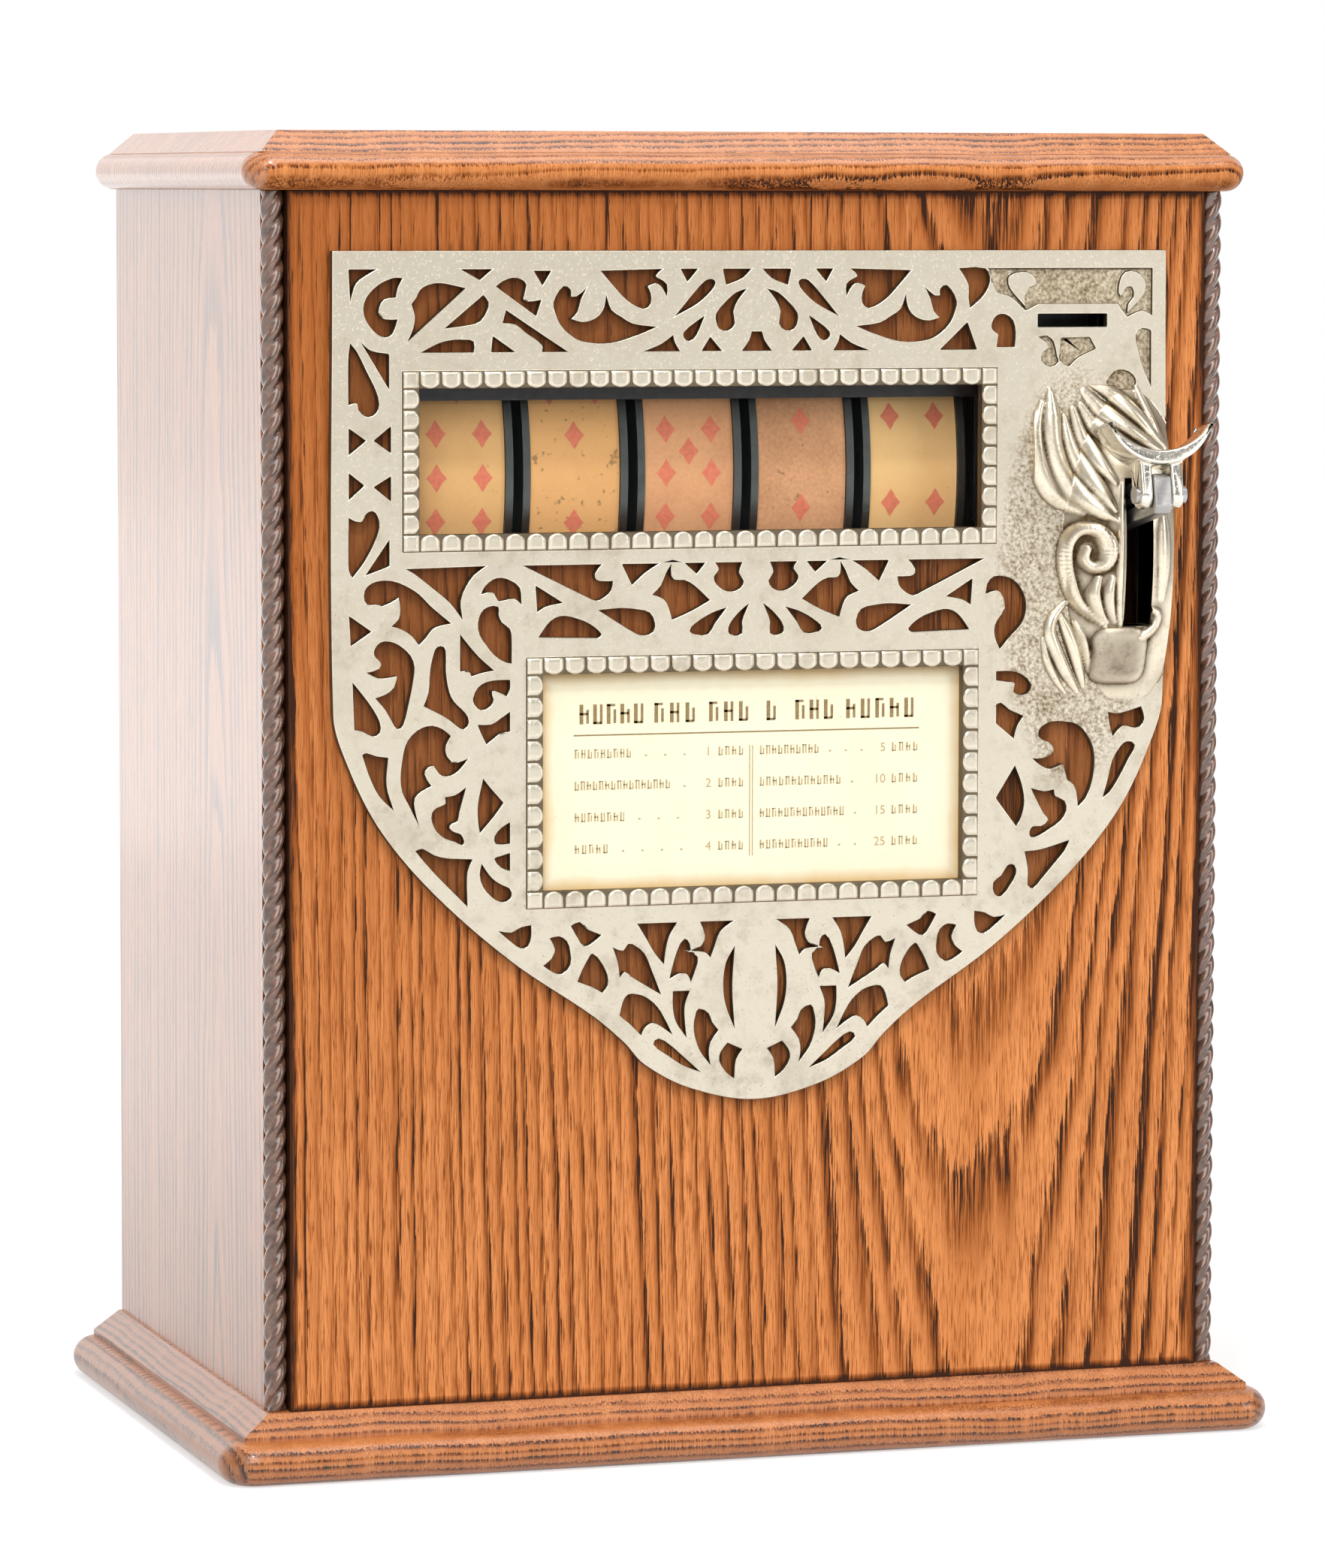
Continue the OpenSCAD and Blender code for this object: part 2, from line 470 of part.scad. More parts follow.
// Lower apron, drawn for the left half and repeated on the right
apron_pairs = [
    [[-79, 140, 1], [-75.5, 139.5], [-72.5, 141], [-69.5, 141.5, 1], [-69.5, 138.5], [-70.5, 135.5],
        [-72.5, 135], [-75.5, 137]],
    [[-63.5, 137.5, 1], [-61, 138], [-58.5, 136.5], [-57.5, 133.5], [-57.5, 129.5], [-60, 127],
        [-62.5, 127.5], [-65.5, 129.5, 1], [-63, 131.5], [-62, 134.5]],
    [[-57, 141, 1], [-54.5, 142], [-52.5, 140], [-48, 138, 1], [-50.5, 136], [-53, 135], [-55, 137.5]],
    [[-50.5, 132.5], [-48, 130], [-46, 126], [-46, 123], [-47.5, 121, 1], [-50, 122.5], [-55, 124.5, 1],
        [-53.5, 128], [-51.5, 131.5]],
    [[-44, 134, 1], [-41, 133], [-39.5, 135], [-37.5, 134.5], [-34.5, 132], [-32.5, 127.5],
        [-29.5, 120, 1], [-34.5, 123], [-38.5, 125.5], [-40.5, 127], [-42, 125.5, 1], [-42.5, 129.5]],
    [[-36.5, 141, 1], [-24.5, 141, 1], [-27, 137], [-28, 133], [-28.5, 129, 1], [-31, 132], [-34, 137]],
    [[-22, 136], [-20.5, 134.5], [-20, 132], [-18, 130.5], [-18.5, 127.5], [-20, 123.5, 1], [-21, 125.5],
        [-23.5, 126], [-26.5, 124.5, 1], [-25.5, 128.5], [-24, 133]],
    [[-17, 141, 1], [-7, 141, 1], [-11, 138], [-13, 133], [-14, 130.5, 1], [-15.5, 132],
        [-19.5, 132.5, 1], [-16.5, 134], [-15.5, 137]],
    [[-25.5, 120.5, 1], [-20.5, 120.5, 1], [-22, 116.5], [-22, 112], [-21.5, 107, 1], [-24.5, 111.5],
        [-25.5, 116]],
    [[-41, 118], [-39.5, 120], [-37, 120], [-34, 119], [-30.5, 116], [-28, 112], [-26, 108, 1],
        [-29.5, 110.5], [-32, 111.5], [-34.5, 110], [-35.5, 108, 1], [-38.5, 111], [-42, 114, 1]],
    [[-31.5, 105], [-30, 106.5], [-26.5, 104.5], [-22.5, 101], [-17.5, 96.5, 1], [-22.5, 98.5],
        [-27, 101.5]],
    [[-17.5, 115], [-14.5, 113.5], [-13.5, 111], [-11.5, 108.5, 1], [-14, 105], [-14.5, 101.5],
        [-14, 98.5, 1], [-17, 102.5], [-18.5, 106.5], [-19, 110], [-18.5, 113]],
    [[-8.5, 104.5, 1], [-4, 102.5, 1], [-6, 99.5], [-6.5, 94, 1], [-9, 96], [-11, 99.5], [-10.5, 102]],
    [[-6.5, 133, 1], [-9, 128.5], [-9.8, 122], [-9, 116], [-6.5, 109.5, 1], [-7.2, 121.5]]];

// Sunk ground of the coin corner, and the two comma scrolls that stand in it
coin_ground = [[73, 334, 1], [125, 334, 1], [125, 320, 1], [122, 321.5], [117, 319.5, 1], [114, 323.5, 1],
    [88.5, 323.5, 1], [84.5, 321.5, 1], [80, 325.5], [75.5, 327, 1], [74, 330]];
coin_scrolls = [
    [[80.5, 332.5], [85, 333], [87.8, 331], [87.5, 329], [85.5, 328.2], [84.3, 325.5], [84.6, 322.3, 1],
        [82.5, 324.5], [79.5, 328], [78.8, 331]],
    [[114.8, 325.5], [114.5, 330], [116.5, 333], [120, 333], [122.8, 330.5], [122.8, 327], [120.5, 324],
        [117, 320.5, 1], [117.3, 323.3], [119, 325.5], [118.5, 328.3], [116.5, 328]]];
coin_hollows = [
    [[89, 313.5, 1], [91.5, 313.8], [93.5, 312], [94.5, 308, 1], [95, 306], [92.5, 304.8], [89.8, 306.5],
        [90, 308.8], [92, 310.2], [91.3, 312]],
    [[96, 313.3, 1], [105, 313.5, 1], [107, 310, 1], [101.5, 307.5], [98.5, 304.8, 1], [95.8, 306.5]],
    [[120, 314], [122, 316], [124.7, 315.3, 1], [124.8, 299, 1], [122.5, 304], [121, 309]],
    [[110.5, 300, 1], [113, 303], [116, 303.5], [119, 302], [120, 299.5], [117.5, 296], [115, 294.5, 1],
        [112.5, 297.5]]];

// Left edge of the casting, from the straight side down to its lowest point
plate_edge = [[-125, 189.5], [-115.5, 171], [-99.5, 152], [-75.5, 131], [-50.5, 114], [-40.5, 105.5],
    [-34.5, 99], [-20.5, 91.5], [0, 87.3]];
plate_side_z = 205;

// A smooth closed curve through points, with sharp corners where they are marked
function flat(p) = [p[0], p[1]];
function sharp(p) = len(p) == 3;
function along(v, d) = norm(v) > 0 ? v / norm(v) * d : [0, 0];
function hermite(a, b, ta, tb, t) = (2 * pow(t, 3) - 3 * pow(t, 2) + 1) * a
    + (pow(t, 3) - 2 * pow(t, 2) + t) * ta
    + (3 * pow(t, 2) - 2 * pow(t, 3)) * b
    + (pow(t, 3) - pow(t, 2)) * tb;
function span(before, a, b, after) =
    let (run = flat(b) - flat(a), d = norm(run))
    let (ta = sharp(a) ? run : along(flat(b) - flat(before), d))
    let (tb = sharp(b) ? run : along(flat(after) - flat(a), d))
    let (n = sharp(a) && sharp(b) ? 1 : max(2, ceil(d / fret_step)))
    [for (i = [0:n - 1]) hermite(flat(a), flat(b), ta, tb, i / n)];
function smooth(pts) = let (n = len(pts))
    [for (i = [0:n - 1]) each span(pts[(i + n - 1) % n], pts[i], pts[(i + 1) % n], pts[(i + 2) % n])];
function flipped(pts) = [for (p = pts) sharp(p) ? [-p[0], p[1], 1] : [-p[0], p[1]]];

// Involute gear outline: the half angle of a tooth at each radius, then the points of all teeth
pressure = 20;
gear_slack = 0.2;
function involute(a) = tan(a) * 180 / PI - a;
function tooth_half(m, n, r) = let (pitch_r = m * n / 2, base_r = pitch_r * cos(pressure))
    90 / n - gear_slack / 2 / pitch_r * 180 / PI + involute(pressure)
    - involute(acos(min(1, base_r / max(r, base_r))));
function gear_radii(m, n) = let (r = m * n / 2, base_r = r * cos(pressure), root = r - 1.25 * m)
    base_r > root ? [root, base_r, r, r + 0.45 * m, r + 0.9 * m] : [root, r - 0.6 * m, r, r + 0.45 * m, r + 0.9 * m];
function tooth(m, n, at) = let (rs = gear_radii(m, n), last = len(rs) - 1)
    concat([for (i = [0:last]) rs[i] * [cos(at - tooth_half(m, n, rs[i])), sin(at - tooth_half(m, n, rs[i]))]],
        [for (i = [last:-1:0]) rs[i] * [cos(at + tooth_half(m, n, rs[i])), sin(at + tooth_half(m, n, rs[i]))]]);
function gear_outline(m, n, first) = [for (k = [0:n - 1]) each tooth(m, n, first + k * 360 / n)];

// A round wire along a helix, as rings of points
wire_sides = 6;
wire_rings = 12;
function coil_point(r, pitch, a) = [pitch * a / 360, r * cos(a), r * sin(a)];
function coil_ring(r, pitch, wire, a) = [for (k = [0:wire_sides - 1]) let (b = k * 360 / wire_sides)
    coil_point(r + wire * cos(b), pitch, a) + [wire * sin(b), 0, 0]];

// Helpers for placing
module in_case() translate([0, base_front - base_d / 2, base_h]) children();
module along_x(x, len) translate([x, 0, 0]) rotate([90, 0, 90]) linear_extrude(len) children();
module rod(x, len, r, y, z) translate([x, y, z]) rotate([0, 90, 0]) cylinder(h = len, r = r);
module on_plate(front, t) translate([plate_x, front, plate_z]) rotate([90, 0, 0]) linear_extrude(t) children();
module on_reel_axis() translate([0, reel_y, reel_z]) children();
module on_lever() translate([lever_x, lever_back, lever_z]) rotate([-lever_rise, 0, 0]) children();
function reel_mid(i) = reel_x + (i - 3) * reel_pitch;

// Board with a half-round nose whose corners are rounded in plan
module nosed_board(w, d, h, corner) {
    r = h / 2;
    translate([-w / 2 + r, corner, 0]) cube([w - h, d - 2 * corner, h]);
    translate([-w / 2 + corner, r, 0]) cube([w - 2 * corner, d - h, h]);
    for (x = [-w / 2 + r, w / 2 - r]) translate([x, d - corner, r]) rotate([90, 0, 0]) cylinder(h = d - 2 * corner, r = r);
    for (y = [r, d - r]) translate([-w / 2 + corner, y, r]) rotate([0, 90, 0]) cylinder(h = w - 2 * corner, r = r);
    for (x = [-1, 1], y = [corner, d - corner]) translate([x * (w / 2 - corner), y, r]) rotate_extrude()
        intersection() {
            union() {
                translate([corner - r, 0]) circle(r = r);
                translate([0, -r]) square([corner - r, h]);
            }
            translate([0, -r]) square([corner, h]);
        }
}
// Member that narrows upwards: its widths at foot and top, its front and rear at foot, top, top and foot
module sloped(w, top_w, y, z, h) intersection() {
    translate([0, y[3], z]) rotate([90, 0, 0]) linear_extrude(y[3] - y[0])
        polygon([[-w / 2, 0], [w / 2, 0], [top_w / 2, h], [-top_w / 2, h]]);
    translate([0, 0, z]) along_x(-w / 2, w) polygon([[y[0], 0], [y[3], 0], [y[2], h], [y[1], h]]);
}

// Base: a nosed board, a small step, and a slope up to the case
base_top_w = 2 * (half_case + base_strip);
module base_plinth() color(oak) translate([0, -base_d / 2, 0]) {
    nosed_board(base_w, base_d, base_nose_h, base_corner);
    step_w = base_w - 2 * base_setback;
    step_d = base_d - 2 * base_setback;
    rear = base_d - base_setback;
    rear_top = base_d - base_rear;
    translate([-step_w / 2, base_setback, base_nose_h - 1]) cube([step_w, step_d, base_step_h + 1]);
    slope_z = base_nose_h + base_step_h;
    sloped(step_w, base_top_w, [base_setback, base_front - base_strip, rear_top, rear], slope_z, base_slope_h);
}

// Top board: a nosed board with a bevel above
module top_board() color(oak) in_case() translate([0, -top_front, panel_h]) {
    nosed_board(top_w, top_d, top_nose_h, top_corner);
    low = top_nose_h / 2 - 0.5;
    bevel_w = top_w - 2 * low;
    flat_w = top_w - 2 * top_setback;
    sloped(bevel_w, flat_w, [low, top_setback, top_d - top_setback, top_d - low], top_nose_h, top_bevel_h);
}

// Case boards
module side_board() translate([-half_case, panel_t, 0]) cube([side_t, case_d - panel_t, panel_h]);
module side_left() color(oak) in_case() side_board();
module side_right() color(oak) in_case() difference() {
    mirror([1, 0, 0]) side_board();
    // Mortise for the lock's cam
    translate([half_inner - 1, cam_y - 1, lock_z - mortise_low])
        cube([cam_sweep - lock_in + 2.5, cam_t + 2, mortise_low + cam_w / 2 + 1]);
}
module lever_slot_cut(front, t, room) translate([lever_x - slot_w / 2 - room, front, plate_z + slot_low - room])
    cube([slot_w + 2 * room, t, slot_high - slot_low + 2 * room]);
module coin_slot_cut(front, t, room)
    translate([plate_x + coin_x - coin_w / 2 - room, front, plate_z + coin_z - coin_h / 2 - room])
        cube([coin_w + 2 * room, t, coin_h + 2 * room]);
module window_cut(x, z, w, h, margin, front, t)
    translate([plate_x + x - w / 2 - margin, front, plate_z + z - margin]) cube([w + 2 * margin, t, h + 2 * margin]);
module front_panel() color(oak) in_case() difference() {
    translate([-panel_w / 2, 0, 0]) cube([panel_w, panel_t, panel_h]);
    window_cut(window_x, window_z, window_w, window_h, cut_room, -1, panel_t + 2);
    window_cut(card_win_x, card_win_z, card_win_w, card_win_h, card_margin, -1, 1 + card_t + 0.1);
    lever_slot_cut(-1, panel_t + 2, cut_room);
    coin_slot_cut(-1, panel_t + 2, cut_room);
    for (s = screw_spots) translate([plate_x + s[0], -1, plate_z + s[1]]) rotate([-90, 0, 0])
        cylinder(h = panel_t + 2, r = screw_r + run_gap);
}

// Rope mouldings: three strands, two shoulders and a hollow each
module rope() {
    strand = [for (k = [0:2]) each [[rope_root_r, k * 120], [rope_r, k * 120 + 40], [rope_r, k * 120 + 80]]];
    turns = panel_h / rope_pitch;
    linear_extrude(panel_h, twist = -360 * turns, slices = ceil(8 * turns), $fn = 9)
        polygon([for (p = strand) p[0] * [cos(p[1]), sin(p[1])]]);
}
module rope_moulding_left() color(dark_oak) in_case() translate([-rope_x, rope_y, 0]) rope();
module rope_moulding_right() color(dark_oak) in_case() translate([rope_x, rope_y, 0]) rope();

// Shelf that carries the mechanism
shelf_front = panel_t;
shelf_d = door_y - 2 - shelf_front;
cleat = 12;
module mech_shelf() color(oak) in_case() difference() {
    translate([-half_inner, shelf_front, shelf_z - shelf_t]) cube([2 * half_inner, shelf_d, shelf_t]);
    translate([plate_x + coin_x - chute_in_w / 2 - 2, shelf_front - 1, shelf_z - shelf_t - 1])
        cube([chute_in_w + 4, chute_in_d + 2 * chute_wall + 2, shelf_t + 2]);
}
module shelf_cleats() color(oak) in_case() for (x = [-half_inner, half_inner - cleat])
    translate([x, shelf_front + 20, shelf_z - shelf_t - cleat]) cube([cleat, shelf_d - 20, cleat]);

// Front casting
module plate_outline() {
    half_edge = concat([[-plate_w / 2, plate_side_z]], plate_edge);
    last = len(half_edge) - 1;
    right_edge = flipped([for (i = [last - 1:-1:0]) half_edge[i]]);
    polygon(smooth(concat([[plate_w / 2, plate_top, 1], [-plate_w / 2, plate_top, 1]], half_edge, right_edge)));
}
module window_shape(x, z, w, h, grow) translate([x - w / 2 - grow, z - grow]) square([w + 2 * grow, h + 2 * grow]);
module fret_openings() {
    for (set = [top_pairs, middle_pairs, apron_pairs], shape = set) {
        polygon(smooth(shape));
        polygon(smooth(flipped(shape)));
    }
    for (set = [top_left, left_column, left_side, right_side, [top_middle]], shape = set) polygon(smooth(shape));
}
module pierced_plate() difference() {
    plate_outline();
    fret_openings();
    window_shape(window_x, window_z, window_w, window_h, 0);
    window_shape(card_win_x, card_win_z, card_win_w, card_win_h, 0);
}
module border(x, z, w, h) on_plate(-plate_t, border_rise) difference() {
    window_shape(x, z, w, h, border_w);
    window_shape(x, z, w, h, 0);
}
// The boss is a lemon-shaped swelling about an upright axis
boss_sag = (pow(boss_half_w, 2) - pow(boss_rise, 2)) / (2 * boss_rise);
boss_r = boss_sag + boss_rise;
boss_arc = (pow(boss_half_h, 2) + pow(boss_rise, 2)) / (2 * boss_rise);
boss_tip = sqrt(pow(boss_arc, 2) - pow(boss_arc - boss_r, 2));
boss_steps = 16;
boss_right = plate_w / 2 - slot_x;
module lever_boss() intersection() {
    translate([lever_x, boss_sag - plate_t, plate_z + boss_z]) rotate_extrude() polygon(concat([[0, -boss_tip]],
        [for (i = [1:boss_steps - 1]) let (h = boss_tip * (2 * i / boss_steps - 1))
            [sqrt(pow(boss_arc, 2) - pow(h, 2)) - boss_arc + boss_r, h]], [[0, boss_tip]]));
    translate([lever_x - boss_half_w - 5, -plate_t - boss_rise - 1, plate_z + boss_z - boss_tip])
        cube([boss_half_w + 5 + boss_right, boss_rise + 1.5, 2 * boss_tip]);
}
module casting_relief() {
    border(window_x, window_z, window_w, window_h);
    border(card_win_x, card_win_z, card_win_w, card_win_h);
    lever_boss();
}
module casting_cuts() {
    on_plate(ground_deep - plate_t, ground_deep + 1) {
        difference() {
            polygon(smooth(coin_ground));
            for (scroll = coin_scrolls) polygon(smooth(scroll));
        }
        for (hollow = coin_hollows) polygon(smooth(hollow));
    }
    lever_slot_cut(-plate_t - boss_rise - 1, plate_t + boss_rise + 2, 0);
    coin_slot_cut(-plate_t - 1, plate_t + 2, 0);
    for (s = screw_spots) translate([plate_x + s[0], 1, plate_z + s[1]]) rotate([90, 0, 0])
        cylinder(h = 1 + screw_bite, r = screw_r + run_gap);
}
module front_casting() color(nickel) in_case() difference() {
    union() {
        on_plate(0, plate_t) pierced_plate();
        union() casting_relief();
    }
    union() casting_cuts();
}
module casting_screws() color(steel) in_case() for (s = screw_spots)
    translate([plate_x + s[0], panel_t, plate_z + s[1]]) rotate([90, 0, 0]) {
        translate([0, 0, -screw_head_t]) cylinder(h = screw_head_t, r = screw_head_r);
        cylinder(h = panel_t + screw_bite - 0.2, r = screw_r);
    }

// Reel window's pane, its beads, and the award card
glass_x = plate_x + window_x;
glass_w = window_w + 2 * glass_margin;
glass_z = plate_z + window_z - glass_margin;
glass_h = window_h + 2 * glass_margin;
module reel_window_glass() color("#cfe0e0", 0.4) in_case()
    translate([glass_x - glass_w / 2, panel_t, glass_z]) cube([glass_w, glass_t, glass_h]);
// The upper bead has a longer lip, which shades the top of the window
module glass_beads() color(dark_oak) in_case() for (top = [0, 1])
    translate([0, 0, top ? glass_z + glass_h : glass_z]) mirror([0, 0, top ? 0 : 1])
        along_x(glass_x - glass_w / 2, glass_w) let (lip = top ? shade_lip : bead_lip, back = panel_t + glass_t)
            polygon([[panel_t, 0], [panel_t, bead_w], [back, bead_w], [back + 2, bead_w - 2], [back + 2, -lip],
                [back, -lip], [back, 0]]);
module award_card() color(paper) in_case() translate([0, 0.1, 0])
    window_cut(card_win_x, card_win_z, card_win_w, card_win_h, card_margin - 0.5, 0, card_t);

// Back door, its hinges and its lock
module back_door() color(oak) in_case() difference() {
    translate([-half_inner + door_gap, door_y, door_gap])
        cube([2 * (half_inner - door_gap), door_t, panel_h - 2 * door_gap]);
    translate([lock_x, door_y - 1, lock_z]) rotate([-90, 0, 0]) cylinder(h = door_t + 2, r = lock_r + run_gap);
}
module knuckle(z, h) translate([hinge_x, hinge_y, z]) difference() {
    cylinder(h = h, r = barrel_r);
    translate([0, 0, -1]) cylinder(h = h + 2, r = hinge_pin_r + run_gap);
}
knuckle_h = hinge_h / 3;
module leaf(side, z) {
    reach = barrel_r + leaf_w;
    difference() {
        translate([side > 0 ? hinge_x : hinge_x - reach, case_d, z]) cube([reach, leaf_t, hinge_h]);
        translate([hinge_x, hinge_y, z - 1]) cylinder(h = hinge_h + 2, r = barrel_r + knuckle_gap);
        translate([hinge_x - barrel_r, case_d - 1, z - 1]) cube([2 * barrel_r, leaf_t + 2, hinge_h + 2]);
    }
}
module tab(side, z, h) difference() {
    translate([side > 0 ? hinge_x : hinge_x - barrel_r - 1, case_d, z]) cube([barrel_r + 1, leaf_t, h]);
    translate([hinge_x, hinge_y, z - 1]) cylinder(h = h + 2, r = hinge_pin_r + run_gap);
}
module hinge_leaves_case() color(brass) in_case() for (mid = hinge_spots) {
    z = mid - hinge_h / 2;
    leaf(-1, z);
    for (k = [0, 2]) {
        knuckle(z + k * knuckle_h, knuckle_h);
        tab(-1, z + k * knuckle_h, knuckle_h);
    }
}
module hinge_leaves_door() color(brass) in_case() for (mid = hinge_spots) {
    z = mid - hinge_h / 2;
    leaf(1, z);
    knuckle(z + knuckle_h + knuckle_gap, knuckle_h - 2 * knuckle_gap);
    tab(1, z + knuckle_h + knuckle_gap, knuckle_h - 2 * knuckle_gap);
}
module hinge_pins() color(steel) in_case() for (mid = hinge_spots)
    translate([hinge_x, hinge_y, mid - hinge_h / 2]) {
        cylinder(h = hinge_h, r = hinge_pin_r);
        translate([0, 0, hinge_h]) cylinder(h = 1.2, r = hinge_pin_r + 1);
    }
module lock_barrel() color(brass) in_case() translate([lock_x, 0, lock_z]) rotate([-90, 0, 0]) difference() {
    union() {
        translate([0, 0, cam_y + cam_t + 0.3]) cylinder(h = case_d - cam_y - cam_t, r = lock_r);
        translate([0, 0, case_d]) cylinder(h = 2, r = lock_r + 2);
    }
    translate([-1, -4, case_d - 6]) cube([2, 8, 10]);
    translate([0, 0, cam_y]) cylinder(h = cam_t + 6, r = 2.5 + run_gap);
}
module lock_cam() color(steel) in_case() translate([lock_x, cam_y, lock_z]) {
    translate([-cam_w / 2, 0, -cam_len + cam_w / 2]) cube([cam_w, cam_t, cam_len - cam_w / 2]);
    rotate([-90, 0, 0]) cylinder(h = cam_t, r = cam_w / 2);
    rotate([-90, 0, 0]) cylinder(h = cam_t + 5, r = 2.5);
}

// Mechanism frame
frame_points = [[34, 0], [0, 0], [0, 12], [10, 16], [22, 44], [16, 76], [18, 102], [32, 124], [44, 136],
    [68, 136], [80, 126], [126, 92], [139, 92], [145, 84], [145, 12], [145, 0], [111, 0], [104, 12], [41, 12]];
frame_y = 30;
frame_foot = 12;
foot_d = 26;
foot_t = 4;
tie_r = 3;
// The outline is drawn 145 deep and is stretched to the room in front of the door
frame_d = door_y - 7 - frame_y;
frame_k = frame_d / 145;
frame_shape = [for (p = frame_points) [p[0] * frame_k, p[1]]];
tie_spots = [[frame_y + 8, shelf_z + 7], [frame_y + frame_d - 7, shelf_z + 18]];
module frame_plate(x, foot_side) {
    difference() {
        along_x(x, frame_t) translate([frame_y, shelf_z]) polygon(frame_shape);
        rod(x - 1, frame_t + 2, reel_shaft_r + run_gap, reel_y, reel_z);
        rod(x - 1, frame_t + 2, stop_rod_r + run_gap, stop_y, stop_z);
        rod(x - 1, frame_t + 2, lever_shaft_r + run_gap, kick_y, kick_z);
        for (t = tie_spots) rod(x - 1, frame_t + 2, tie_r + run_gap, t[0], t[1]);
        rod(x - 1, frame_t + 2, 20, frame_y + 88 * frame_k, shelf_z + 58);
        children();
    }
    foot_x = foot_side > 0 ? x + frame_t : x - frame_foot;
    for (y = [frame_y, frame_y + frame_d - foot_d - 4]) translate([foot_x, y, shelf_z])
        cube([frame_foot, foot_d, foot_t]);
}
module frame_left() color(iron) in_case() frame_plate(frame_left_x, 1)
    rod(frame_left_x - 1, frame_t + 2, fan_r + run_gap, fan_y, kick_z);
module frame_right() color(iron) in_case() frame_plate(frame_right_x, 1)
    rod(frame_right_x - 1, frame_t + 2, lever_shaft_r + run_gap, lever_back, lever_z);
module tie_rods() color(steel) in_case() for (t = tie_spots)
    rod(frame_left_x - 1, frame_right_x + frame_t - frame_left_x + 2, tie_r, t[0], t[1]);

// Reels
shaft_over = 9;
nut_t = 5;
nut_r = 9;
module reel_shaft() color(steel) in_case() rod(frame_left_x - shaft_over,
    frame_right_x + frame_t - frame_left_x + 2 * shaft_over, reel_shaft_r, reel_y, reel_z);
module shaft_nuts() color(steel) in_case() for (x = [frame_left_x - nut_t, frame_right_x + frame_t]) difference() {
    translate([x, reel_y, reel_z]) rotate([0, 90, 0]) cylinder(h = nut_t, r = nut_r, $fn = 6);
    rod(x - 1, nut_t + 2, reel_shaft_r + 0.02, reel_y, reel_z);
}
module collar(from, to) difference() {
    rod(from + collar_gap, to - from - 2 * collar_gap, collar_r, reel_y, reel_z);
    rod(from - 1, to - from + 2, reel_shaft_r + 0.02, reel_y, reel_z);
}
module reel_collars() color(brass) in_case() {
    collar(frame_left_x + frame_t, reel_mid(1) - reel_w / 2);
    for (i = [1:4]) collar(reel_mid(i) + hub_end, reel_mid(i + 1) - reel_w / 2);
    collar(reel_mid(5) + hub_end, frame_right_x);
}
module star_wheel() difference() {
    rod(star_x, star_t, star_r, 0, 0);
    for (k = [0:reel_stops - 1]) rotate([notch_at + k * stop_step, 0, 0]) along_x(star_x - 1, star_t + 2)
        polygon([[star_r - notch_deep, -2.2], [star_r + 2, -4.5], [star_r + 2, 4.5], [star_r - notch_deep, 2.2]]);
    rod(star_x - 1, star_t + 2, hub_r - 2, 0, 0);
}
module reel_drum(i) color(iron) in_case() translate([reel_mid(i), 0, 0]) on_reel_axis() {
    half = reel_w / 2;
    inner_r = drum_r - drum_t;
    difference() {
        rotate([0, 90, 0]) rotate_extrude() polygon([[reel_shaft_r + run_gap, -half], [hub_r, -half],
            [hub_r, -drum_t / 2], [inner_r, -drum_t / 2], [inner_r, -half], [rim_r, -half],
            [rim_r, -half + rim_w], [drum_r, -half + rim_w], [drum_r, half - rim_w], [rim_r, half - rim_w],
            [rim_r, half], [inner_r, half], [inner_r, drum_t / 2], [hub_r, drum_t / 2], [hub_r, hub_end],
            [reel_shaft_r + run_gap, hub_end]]);
        for (k = [0:5]) rotate([k * 60, 0, 0]) rod(-drum_t, 2 * drum_t, 14, 42, 0);
    }
    star_wheel();
}
module reel_strip(i) color(paper) in_case() translate([reel_mid(i), 0, 0]) on_reel_axis() difference() {
    half = reel_w / 2 - rim_w - 0.1;
    rod(-half, 2 * half, strip_r, 0, 0);
    rod(-half - 1, 2 * half + 2, strip_r - strip_t, 0, 0);
}

// Stop rod and pawls
module stop_rod() color(steel) in_case()
    rod(frame_left_x - 2, frame_right_x + frame_t - frame_left_x + 4, stop_rod_r, stop_y, stop_z);
module stop_pawl(i) color(steel) in_case() translate([reel_mid(i), stop_y, stop_z])
    rotate([notch_at + 90, 0, 0]) difference() {
        union() {
            along_x(star_x, star_t) polygon([[0, -pawl_w / 2 - 2], [0, 3], [-pawl_root, 0.5], [-pawl_len + nib_w, -1],
                [-pawl_len + 1, 0], [-pawl_len - 1, 0], [-pawl_len - nib_w / 2, -1], [-pawl_len - nib_w, -2],
                [-pawl_len - nib_w, -1 - pawl_w]]);
            rod(star_x, star_t, pawl_hub_r, 0, 0);
        }
        rod(star_x - 1, star_t + 2, stop_rod_r + run_gap, 0, 0);
    }

// Lever, from its hub to the blunt end inside the finger rest's fork
module lever_arm() color(iron) in_case() on_lever() difference() {
    tip = lever_len + 4.5;
    union() {
        along_x(-blade_t / 2, blade_t) polygon([[0, -hub_lever_r + 1], [-40, -blade_h / 2], [-tip + 2, -blade_h / 2],
            [-tip, -blade_h / 2 + 2], [-tip, blade_h / 2 - 1.5], [-tip + 1.5, blade_h / 2], [-40, blade_h / 2],
            [0, hub_lever_r - 1]]);
        rod(-blade_t / 2, blade_t, hub_lever_r, 0, 0);
    }
    rod(-blade_t, 2 * blade_t, lever_shaft_r + 0.02, 0, 0);
    rod(-blade_t, 2 * blade_t, pin_r + run_gap, -lever_len, 0);
}
